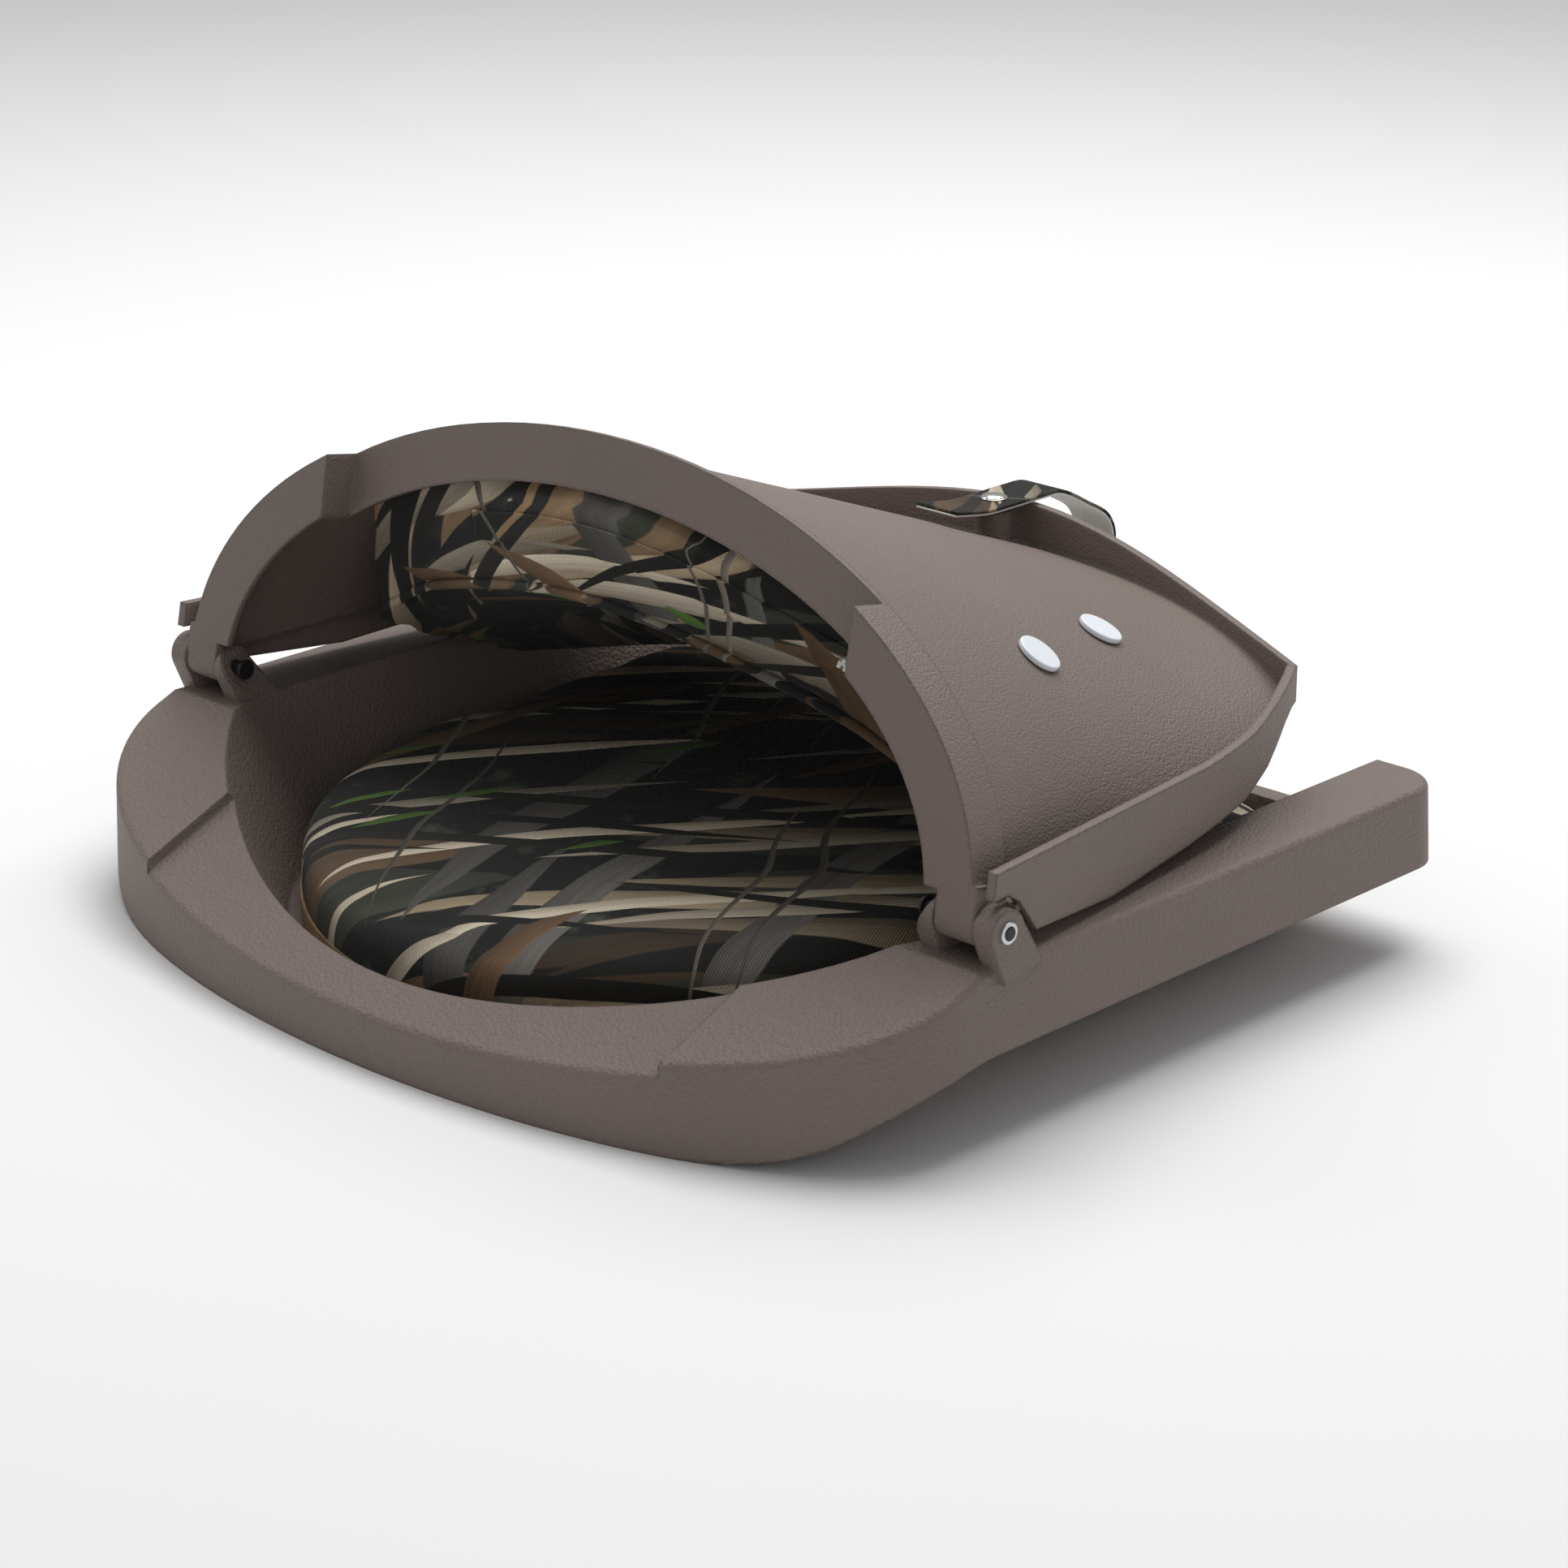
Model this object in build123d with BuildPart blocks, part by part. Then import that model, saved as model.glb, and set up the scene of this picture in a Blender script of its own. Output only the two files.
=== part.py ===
"""Fold-down boat seat: a moulded seat shell and a moulded back shell on two hinge pins, with cushions.

The seat is shown as it is stored, with its back folded forward. +Z is up, +Y is the rear, and the
origin is the centre of the four mounting inserts, on the plane that the seat stands on.
"""
from build123d import *
from math import cos, sin, tan, radians
import os

os.makedirs("parts", exist_ok=True)

# ---------------------------------------------------------------- overall sizes (mm)
seat_width = 500.0           # over the two arms
arm_length = 297.0           # hinge axis to the front end of the arms
bowl_depth = 122.0           # hinge axis to the rear of the skirt
hinge_y = 100.0              # hinge axis behind the centre of the mounting inserts
hinge_z = 90.0               # hinge axis above the base plane
wall = 3.5                   # moulded wall of both shells

# ---------------------------------------------------------------- seat shell
arm_top_z = 75.0             # top of the arms
arm_bottom_z = 39.0          # lower edge of the skirt along the arms
arm_width = 35.0             # outer skirt to the pocket's side
rim_slope = 22.8             # degrees that the rim falls towards the rear
rim_step = 5.0               # how much lower the rim is between the two step lines
step_inset = 92.0            # step lines, in from the arms' outer sides
skirt_draft = 3.5            # how far the skirt leans in from bottom to top
rim_width = 20.0             # top of the rim at the rear
floor_z = 12.0               # top of the pocket's floor
floor_inset = 60.0           # floor's sides, in from the arms' outer sides
floor_rear = 97.0            # rear end of the floor behind the hinge axis
front_lip_z = 46.0           # top of the lip between the arms
end_radius = 22.0            # plan radius of the arms' front corners
pocket_corner = 30.0         # plan radius of the pocket's front corners
top_round = 3.0              # rounded top edge of the arms and the rim, outside

# ---------------------------------------------------------------- hinges
ear_thickness = 10.0
ear_radius = 9.5
ear_web = 12.0               # how far the ear's foot runs forward of its round top
knuckle_width = 20.0
knuckle_radius = 8.8
side_gap = 0.5               # each side of a knuckle, between the ears
ear_room = 0.8               # cleared in the back shell, all round the ears
knuckle_rise = 16.0          # how far a knuckle's web runs up the band
pin_radius = 3.0
pin_clearance = 0.05
pin_head_radius = 4.6
pin_head_height = 1.6
ring_height = 1.2

# ---------------------------------------------------------------- back shell
arch_inset = 12.0            # the arch's feet, in from the arms' outer sides
arch_height = 146.0          # above the hinge axis, along the band
band_width = 25.0            # arch band, outer edge to inner edge
band_tilt = 10.4             # degrees that the band leans forward when folded
band_recess = 17.0           # the middle of the band stands this far forward of its sides
rest_gap = 0.4               # between the open back's band and the seat's rim
flange_stand = 1.2           # how far the band's outer edge stands proud of the panel
panel_front_inset = 56.0     # the panel's section at its front end, in from the arms' outer sides
panel_front_z = 127.0        # crown of that section
panel_front_edge_z = 111.0   # its side edges
panel_side_drop = 5.0        # the arch's feet above the hinge axis
bead_wall = 4.5              # wall of the tray's rim
side_bead_z = 113.0          # top of the tray's side walls
corner_bead_z = 126.0        # top of the rim at the front corners
crown_bead_z = 151.0         # top of the rim at its middle
back_front_short = 2.0       # the rim's middle, short of the arms' ends
corner_short = 49.0          # the rim's front corners, short of the arms' ends
corner_inset = 52.0          # those corners, in from the arms' outer sides
side_wall_low_z = 80.0
boss_radius = 8.5
boss_short = 21.0            # the snap's boss, short of the arms' ends
boss_top_z = 149.6

# ---------------------------------------------------------------- cushions
board_thickness = 9.0
cover_thickness = 1.5
seat_cushion_top_z = 49.0
cushion_margin = 3.0         # cushion to the pocket's wall, at the floor
back_cushion_depth = 60.0
back_cushion_inset = 74.0    # the back cushion's sides, in from the arms' outer sides
back_cushion_rear = 20.0     # its rear end, forward of the hinge axis
back_cushion_short = 16.0    # its front end, short of the arms' ends
back_cushion_low_z = 64.0    # lowest level of its face when folded
cushion_gap = 0.6            # cover to the shell that it lies on
fastener_radius = 10.0
fastener_shank = 3.2
fastener_head = 2.6
fastener_length = 12.0
fastener_insets = ((83.0, 112.0), (105.0, 178.0))    # in from the arms' outer sides, forward of the hinge

# ---------------------------------------------------------------- strap and snap
strap_width = 25.0
webbing_thickness = 1.0
strap_thickness_top = 1.5    # printed cloth
strap_level_z = 152.4        # underside of the strap over the boss
snap_radius = 6.3
snap_screw_radius = 1.25
snap_screw_length = 9.0
stud_radius = 2.9
stud_height = 2.4
stud_base = 0.8
snap_screw_head = 1.0
snap_post = 1.5
cap_height = 2.3
strap_end_gap = 1.2          # between the lifting tab and the strap's fixed bow
bow_radius = 9.0
socket_bore = 3.7
zip_width = 8.0
zip_thickness = 1.5
zip_span = (-170.0, 80.0)    # along X

# ---------------------------------------------------------------- mounting
mount_spacing = 127.0        # square pattern of the inserts
insert_radius = 5.0
insert_hole = 3.4            # clear bore for a quarter inch screw
insert_length = 11.0
mount_boss_radius = 10.0
screw_radius = 2.0
screw_clearance = 0.05
screw_head_height = 2.2
screw_tip_z = 20.0
screw_spots = ((110.0, 40.0), (110.0, -130.0))

# ---------------------------------------------------------------- worked out
half = seat_width / 2
step_half_width = half - step_inset
floor_half_width = half - floor_inset
arch_half_width = half - arch_inset
panel_front_half = half - panel_front_inset
corner_half_width = half - corner_inset
back_cushion_half = half - back_cushion_inset
back_front = arm_length - back_front_short
corner_back = arm_length - corner_short
boss_back = arm_length - boss_short
back_cushion_front = arm_length - back_cushion_short
strap_crest_back = arm_length        # hinge axis to the crest that the strap lifts about
fastener_spots = [(half - inset, forward) for inset, forward in fastener_insets]
front_y = hinge_y - arm_length
rear_y = hinge_y + bowl_depth
fall = tan(radians(rim_slope))
rim_drop = (knuckle_radius + rest_gap) / cos(radians(rim_slope))


def rim_z(y):
    """Height of the sloping rim at a place y."""
    return hinge_z - rim_drop - fall * (y - hinge_y)


knee_y = hinge_y + (hinge_z - rim_drop - arm_top_z) / fall
tilt = radians(band_tilt)
band_plane = Plane(
    origin=(0, hinge_y + knuckle_radius * cos(tilt), hinge_z + knuckle_radius * sin(tilt)),
    x_dir=(-1, 0, 0),
    z_dir=(0, cos(tilt), sin(tilt)),
)
open_angle = 90 + band_tilt + rim_slope
outer_ear = half - ear_thickness / 2
knuckle_x = half - ear_thickness - side_gap - knuckle_width / 2
inner_ear = knuckle_x - knuckle_width / 2 - side_gap - ear_thickness / 2
side_plane = Plane.YZ
hinge_axis_plane = Plane(origin=(0, hinge_y, hinge_z), z_dir=(1, 0, 0))
rim_angle = radians(rim_slope)
ear_rear_top = (hinge_y + ear_radius * cos(rim_angle), hinge_z - ear_radius * sin(rim_angle))
ear_rear_foot = (ear_rear_top[0] - 20 * sin(rim_angle), ear_rear_top[1] - 20 * cos(rim_angle))
cushion_screw_places = [(s * x, y) for s in (-1, 1) for x, y in screw_spots]
pocket_top = hinge_z + 10                  # height that the pocket's and pan's lofts run up to
pocket_top_half = half - arm_width + 4     # half width of the pocket there


def bowl_outline(plane, half_width, front, straight_to, rear, corner):
    """Closed outline on a plane: straight front and sides, rounded front corners, half-ellipse rear."""
    with BuildSketch(plane) as outline:
        with BuildLine():
            FilletPolyline((half_width, straight_to), (half_width, front), (-half_width, front),
                           (-half_width, straight_to), radius=corner)
            EllipticalCenterArc((0, straight_to), half_width, rear - straight_to, arc_size=180)
        make_face()
    return outline.sketch


def bowl_loft(bottom, top, bottom_z, top_z):
    """Solid between two such outlines, each given as half width, front, end of the sides and rear."""
    with BuildPart() as body:
        loft([bowl_outline(Plane.XY.offset(bottom_z), *bottom), bowl_outline(Plane.XY.offset(top_z), *top)],
             ruled=True)
    return body.part


def pocket_side(z):
    """Half width of the pocket between the arms at a height z."""
    share = (z - floor_z) / (pocket_top - floor_z)
    return floor_half_width + (pocket_top_half - floor_half_width) * share


def top_form(down, inset):
    """Everything under the arms' top and the falling rim, lowered by down.

    The middle of the rear rim steps down between the two step lines, and between the arms the
    front is only a low lip. Both are inset wider, for the inside of the wall.
    """
    low = rim_step + down
    lip = front_lip_z - down
    with BuildPart() as body:
        with BuildSketch(side_plane):
            with BuildLine():
                Polyline((front_y - 50, -80), (front_y - 50, arm_top_z - down), (knee_y, arm_top_z - down),
                         (rear_y + 50, rim_z(rear_y + 50) - down), (rear_y + 50, -80), close=True)
            make_face()
        extrude(amount=half + 20, both=True)
        with BuildSketch(side_plane):
            with BuildLine():
                Polyline((hinge_y + 30, rim_z(hinge_y + 30) - low), (rear_y + 60, rim_z(rear_y + 60) - low),
                         (rear_y + 60, hinge_z + 9), (hinge_y + 30, hinge_z + 9), close=True)
            make_face()
        extrude(amount=step_half_width + inset, both=True, mode=Mode.SUBTRACT)
        with BuildSketch(Plane.XZ.offset(-front_y)):
            with BuildLine():
                Polyline((pocket_side(lip) + inset, lip), (pocket_side(pocket_top) + inset, pocket_top),
                         (-pocket_side(pocket_top) - inset, pocket_top), (-pocket_side(lip) - inset, lip),
                         close=True)
            make_face()
        extrude(amount=60, both=True, mode=Mode.SUBTRACT)
    return body.part


def skirt_foot(up):
    """Everything below the skirt's lower edge: level along the arms, and a long S down to the base."""
    with BuildPart() as body:
        with BuildSketch(side_plane):
            with BuildLine():
                start = (hinge_y + 2, arm_bottom_z + up)
                end = (hinge_y + 104, up)
                Line((front_y - 60, arm_bottom_z + up), start)
                Spline(start, (hinge_y + 56, 0.5 * arm_bottom_z + 2 + up), end, tangents=((1, 0), (1, 0)))
                Line(end, (rear_y + 60, up))
                Polyline((rear_y + 60, up), (rear_y + 60, -60), (front_y - 60, -60),
                         (front_y - 60, arm_bottom_z + up))
            make_face()
        extrude(amount=half + 60, both=True)
    return body.part


# ---------------------------------------------------------------- seat_shell
bowl_start = hinge_y + 20
outer_block = bowl_loft(
    (half, front_y, bowl_start, rear_y + 2, end_radius),
    (half - skirt_draft, front_y + skirt_draft, bowl_start, rear_y + 2 - skirt_draft, end_radius),
    0, hinge_z)
inner_block = bowl_loft(
    (half - wall, front_y + wall, bowl_start, rear_y + 2 - wall, end_radius - wall),
    (half - skirt_draft - wall, front_y + skirt_draft + wall, bowl_start, rear_y + 2 - skirt_draft - wall,
     end_radius - wall),
    -1, hinge_z)
pocket_rear = rear_y - rim_width + 22
floor_front = front_y + 18
pocket = bowl_loft(
    (floor_half_width, floor_front, 0, hinge_y + floor_rear, pocket_corner),
    (pocket_top_half, front_y + 8, hinge_y, pocket_rear, pocket_corner),
    floor_z, pocket_top)
pan = bowl_loft(
    (floor_half_width + wall, floor_front - wall, 0, hinge_y + floor_rear + wall, pocket_corner + wall),
    (pocket_top_half + wall, front_y + 8 - wall, hinge_y, pocket_rear + wall, pocket_corner + wall),
    floor_z - wall, pocket_top)


# outer form with rounded front corners, under the arms' top and the falling rim
with BuildPart() as outer_form:
    add(outer_block)
    add(top_form(0, 0), mode=Mode.INTERSECT)
    add(skirt_foot(0), mode=Mode.SUBTRACT)
    top_faces = outer_form.faces().filter_by(lambda f: f.normal_at().Z > 0.85).sort_by(Axis.Z)
    outside = outer_form.faces().filter_by(lambda f: abs(f.normal_at().Z) < 0.2 and f.area > 2000)
    rounded = [e for f in top_faces for e in f.edges() if any(e in g.edges() for g in outside)]
    fillet(rounded, top_round)

# hollow underside of the skirt and rim
with BuildPart() as underside:
    add(inner_block)
    add(top_form(wall, wall), mode=Mode.INTERSECT)

# the pan that hangs in the pocket
with BuildPart() as hung_pan:
    add(pan)
    add(top_form(wall / 2, 0), mode=Mode.INTERSECT)

with BuildPart() as seat_shell:
    add(outer_form.part)
    add(underside.part, mode=Mode.SUBTRACT)
    add(hung_pan.part)
    # bosses for the mounting inserts
    with BuildSketch(Plane.XY):
        with GridLocations(mount_spacing, mount_spacing, 2, 2):
            Circle(mount_boss_radius)
    extrude(amount=floor_z - 1)
    # ears of the two hinges
    for side in (-1, 1):
        for x in (inner_ear, outer_ear):
            with BuildSketch(side_plane.offset(side * x)):
                with Locations((hinge_y, hinge_z)):
                    Circle(ear_radius)
                with BuildLine():
                    Polyline(ear_rear_top, ear_rear_foot,
                             (hinge_y - ear_radius - ear_web, hinge_z - 18),
                             (hinge_y - ear_radius - ear_web + 1, arm_top_z - 1),
                             (hinge_y - ear_radius + 0.6, hinge_z + 3), (hinge_y, hinge_z), close=True)
                make_face()
            extrude(amount=ear_thickness / 2, both=True)
    add(pocket, mode=Mode.SUBTRACT)
    # pin holes
    with Locations(hinge_axis_plane):
        Cylinder(pin_radius + pin_clearance, seat_width + 40, mode=Mode.SUBTRACT)
    # insert bores and the cushion's screw holes
    with BuildSketch(Plane.XY.offset(-1)):
        with GridLocations(mount_spacing, mount_spacing, 2, 2):
            Circle(insert_radius)
        with Locations(*cushion_screw_places):
            Circle(screw_radius + screw_clearance)
    extrude(amount=floor_z + 2, mode=Mode.SUBTRACT)
seat_shell.part.label = "seat_shell"
export_step(seat_shell.part, "parts/seat_shell.step")

# ---------------------------------------------------------------- seat cushion: cover, foam, board
seat_front = floor_front + cushion_margin
seat_rear = hinge_y + floor_rear - cushion_margin
seat_half = floor_half_width - cushion_margin


def seat_pad(inset, bottom_z, top_z, round_top):
    """Solid of the seat cushion's outline, inset all round, with a rounded top edge."""
    with BuildPart() as body:
        add(bowl_outline(Plane.XY.offset(bottom_z), seat_half - inset, seat_front + inset, 0, seat_rear - inset,
                         pocket_corner - inset))
        extrude(amount=top_z - bottom_z)
        fillet(body.faces().sort_by(Axis.Z)[-1].edges(), round_top)
    return body.part


cover_bottom = floor_z + 0.2
board_bottom = cover_bottom + cover_thickness
board_top = board_bottom + board_thickness
with BuildPart() as seat_cover:
    add(seat_pad(0, cover_bottom, seat_cushion_top_z, 10))
    add(seat_pad(cover_thickness, board_bottom, seat_cushion_top_z - cover_thickness, 8.5), mode=Mode.SUBTRACT)
    with BuildSketch(Plane.XY):
        with Locations(*cushion_screw_places):
            Circle(screw_radius + screw_clearance)
    extrude(amount=board_bottom + 0.5, mode=Mode.SUBTRACT)
seat_cover.part.label = "seat_cover"
export_step(seat_cover.part, "parts/seat_cover.step")

with BuildPart() as seat_foam:
    add(seat_pad(cover_thickness + 0.1, board_top + 0.1, seat_cushion_top_z - cover_thickness - 0.1, 8.4))
seat_foam.part.label = "seat_foam"
export_step(seat_foam.part, "parts/seat_foam.step")

with BuildPart() as seat_board:
    board_inset = cover_thickness + 1
    add(bowl_outline(Plane.XY.offset(board_bottom), seat_half - board_inset, seat_front + board_inset, 0,
                     seat_rear - board_inset, pocket_corner - board_inset))
    extrude(amount=board_thickness)
    with BuildSketch(Plane.XY):
        with Locations(*cushion_screw_places):
            Circle(screw_radius)
    extrude(amount=screw_tip_z, mode=Mode.SUBTRACT)
seat_board.part.label = "seat_board"
export_step(seat_board.part, "parts/seat_board.step")

with BuildPart() as seat_cushion_screws:
    with BuildSketch(Plane.XY.offset(floor_z - wall - screw_head_height)):
        with Locations(*cushion_screw_places):
            Circle(2 * screw_radius)
    extrude(amount=screw_head_height)
    with BuildSketch(Plane.XY.offset(floor_z - wall)):
        with Locations(*cushion_screw_places):
            Circle(screw_radius)
    extrude(amount=screw_tip_z - floor_z + wall)
seat_cushion_screws.part.label = "seat_cushion_screws"
export_step(seat_cushion_screws.part, "parts/seat_cushion_screws.step")

# ---------------------------------------------------------------- mount_inserts
with BuildPart() as mount_inserts:
    with BuildSketch(Plane.XY):
        with GridLocations(mount_spacing, mount_spacing, 2, 2):
            Circle(insert_radius)
            Circle(insert_hole, mode=Mode.SUBTRACT)
    extrude(amount=insert_length)
mount_inserts.part.label = "mount_inserts"
export_step(mount_inserts.part, "parts/mount_inserts.step")

# ---------------------------------------------------------------- hinge pins and their retaining rings
inner_face = inner_ear - ear_thickness / 2
for name, side in (("right", -1), ("left", 1)):
    outward = Plane(origin=(side * inner_face, hinge_y, hinge_z), x_dir=(0, 1, 0), z_dir=(side, 0, 0))
    with BuildPart() as hinge_pin:
        with BuildSketch(outward.offset(-pin_head_height)):
            Circle(pin_head_radius)
        extrude(amount=pin_head_height)
        with BuildSketch(outward):
            Circle(pin_radius)
        extrude(amount=half - inner_face + ring_height + 0.6)
        chamfer(hinge_pin.faces().sort_by(Axis.X)[0 if side < 0 else -1].edges(), 0.5)
        fillet(hinge_pin.faces().sort_by(Axis.X)[-1 if side < 0 else 0].edges(), 0.7)
    hinge_pin.part.label = "hinge_pin_" + name
    export_step(hinge_pin.part, "parts/hinge_pin_" + name + ".step")
    with BuildPart() as pin_retainer:
        with BuildSketch(outward.offset(half - inner_face)):
            Circle(pin_head_radius)
            Circle(pin_radius, mode=Mode.SUBTRACT)
        extrude(amount=ring_height)
        fillet(pin_retainer.faces().sort_by(Axis.X)[0 if side < 0 else -1].edges().sort_by(SortBy.LENGTH)[-1], 0.5)
    pin_retainer.part.label = "pin_retainer_" + name
    export_step(pin_retainer.part, "parts/pin_retainer_" + name + ".step")

# ---------------------------------------------------------------- back_shell: forms
dome_front = hinge_y - back_front - 5


def dome(inset, legs, down=0.0):
    """Solid under the panel: a ruled form from the arch in the band's plane to the flatter front section.

    It is inset all round, runs straight down by its legs below the panel's edges, and is moved down.
    """
    side = arch_half_width - flange_stand - inset
    rise = arch_height - flange_stand - panel_side_drop
    foot = panel_side_drop - inset
    front_side = panel_front_half - inset
    front_foot = panel_front_edge_z - inset
    with BuildPart() as body:
        with BuildSketch(band_plane) as arch:
            with BuildLine():
                EllipticalCenterArc((0, foot), side, rise, arc_size=180)
                Polyline((-side, foot), (-side, foot - legs), (side, foot - legs), (side, foot))
            make_face()
        with BuildSketch(Plane.XZ.offset(-dome_front)) as section:
            with BuildLine():
                ThreePointArc((-front_side, front_foot), (0, panel_front_z - inset), (front_side, front_foot))
                Polyline((front_side, front_foot), (front_side, front_foot - legs),
                         (-front_side, front_foot - legs), (-front_side, front_foot))
            make_face()
        loft([arch.sketch, section.sketch], ruled=True)
    return body.part.moved(Location((0, 0, -down)))


def tray_plan(plane, inset):
    """Outline of the tray seen from above: two sides that draw in, and a bowed front wall."""
    with BuildSketch(plane) as plan:
        with BuildLine():
            rear_corner = (half - 1 - inset, hinge_y + 12)
            side_end = (half - 22 - inset, hinge_y - 150)
            corner = (corner_half_width - inset, hinge_y - corner_back + 0.3 * inset)
            Line(rear_corner, side_end)
            TangentArc(side_end, corner, tangent=(side_end[0] - rear_corner[0], side_end[1] - rear_corner[1]))
            ThreePointArc(corner, (0, hinge_y - back_front + inset), (-corner[0], corner[1]))
            TangentArc((-side_end[0], side_end[1]), (-corner[0], corner[1]),
                       tangent=(rear_corner[0] - side_end[0], side_end[1] - rear_corner[1]))
            Polyline((-side_end[0], side_end[1]), (-rear_corner[0], rear_corner[1]), rear_corner)
        make_face()
    return plan.sketch


def tray_prism(inset, bottom_z, top_z):
    """Upright prism of the tray's outline."""
    with BuildPart() as body:
        add(tray_plan(Plane.XY.offset(bottom_z), inset))
        extrude(amount=top_z - bottom_z)
    return body.part


def side_form(points, reach):
    """Solid of a closed outline in side view, with places given as (behind the hinge axis, height)."""
    with BuildPart() as body:
        with BuildSketch(side_plane):
            with BuildLine():
                Polyline(*[(hinge_y + y, z) for y, z in points], close=True)
            make_face()
        extrude(amount=reach, both=True)
    return body.part


def behind_band(forward, half_reach):
    """Everything behind the band's plane moved forward, within a reach from the middle."""
    with BuildPart() as body:
        with BuildSketch(band_plane.offset(-forward)):
            with Locations((0, arch_height / 2)):
                Rectangle(2 * half_reach, 2 * arch_height)
        extrude(amount=120)
    return body.part


def arch_ring(width_half, height, ring_width, rear, depth):
    """Half-elliptic ring parallel to the band's plane, from a place in front of it, going forward."""
    with BuildPart() as body:
        with BuildSketch(band_plane.offset(-rear)):
            with BuildLine():
                EllipticalCenterArc((0, 0), width_half, height, arc_size=180)
                Line((width_half, 0), (-width_half, 0))
            make_face()
            with BuildLine():
                EllipticalCenterArc((0, 0), width_half - ring_width, height - ring_width, arc_size=180)
                Line((width_half - ring_width, 0), (ring_width - width_half, 0))
            make_face(mode=Mode.SUBTRACT)
        extrude(amount=-depth)
    return body.part


# tray walls with their curved top and bottom edges
wall_top = side_form(((30, 60), (30, side_bead_z + 2), (-150, side_bead_z), (-192, side_bead_z + 2),
                      (-218, side_bead_z + 7), (-corner_back + 2, corner_bead_z), (-corner_back + 1, 200),
                      (-340, 200), (-340, 60)), half + 10)
wall_bottom = side_form(((30, 60), (30, 104), (-3, 104), (-11, 99), (-24, 83), (-78, side_wall_low_z - 1),
                         (-138, 83), (-184, 88), (-208, 95), (-230, 107), (-240, 110), (-340, 110),
                         (-340, 60)), half + 10)
with BuildPart() as wall_crest:
    with BuildSketch(Plane.XZ.offset(-dome_front + 40)):
        with BuildLine():
            Spline((corner_half_width, corner_bead_z), (0.62 * corner_half_width, corner_bead_z + 8.5),
                   (0, crown_bead_z), (-0.62 * corner_half_width, corner_bead_z + 8.5),
                   (-corner_half_width, corner_bead_z), tangents=((-1, 0.05), (-1, -0.05)))
            Polyline((-corner_half_width, corner_bead_z), (-half - 10, corner_bead_z), (-half - 10, 60),
                     (half + 10, 60), (half + 10, corner_bead_z), (corner_half_width, corner_bead_z))
        make_face()
    extrude(amount=-420)
with BuildPart() as tray_wall:
    add(tray_prism(0, 70, 170))
    add(tray_prism(bead_wall, 69, 171), mode=Mode.SUBTRACT)
    add(wall_top, mode=Mode.INTERSECT)
    add(wall_crest.part, mode=Mode.INTERSECT)
    add(wall_bottom, mode=Mode.SUBTRACT)

# floor beside the panel, out to the walls
rail_rear = hinge_z + panel_side_drop
tray_floor = side_form(((20, rail_rear), (-back_front - 5, panel_front_edge_z),
                        (-back_front - 5, panel_front_edge_z - wall), (20, rail_rear - wall)), half)

panel_outside = dome(0, wall)
panel_inside = dome(wall, wall + 5)

# hollow in front of the band's side sections
with BuildPart() as side_hollows:
    with BuildSketch(band_plane.offset(-wall)):
        for side in (-1, 1):
            with Locations((side * (step_half_width + wall + 60), arch_height / 2)):
                Rectangle(120, 2 * arch_height)
    extrude(amount=-band_recess - 1)
    add(panel_inside, mode=Mode.INTERSECT)

# boss of the snap, standing on the panel
with BuildPart() as snap_boss:
    with BuildSketch(Plane.XY.offset(panel_front_z - 1)):
        with Locations((0, hinge_y - boss_back)):
            Circle(boss_radius)
    extrude(amount=boss_top_z - panel_front_z + 1)
    add(panel_inside, mode=Mode.SUBTRACT)

# places of the push-in fasteners, square to the panel
fastener_planes = []
for x, forward in fastener_spots:
    for side in (-1, 1):
        down_line = Axis((side * x, hinge_y - forward, 400), (0, 0, -1))
        point, normal = panel_outside.find_intersection_points(down_line)[0]
        fastener_planes.append(Plane(origin=point, z_dir=normal if normal.Z > 0 else -normal))

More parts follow.
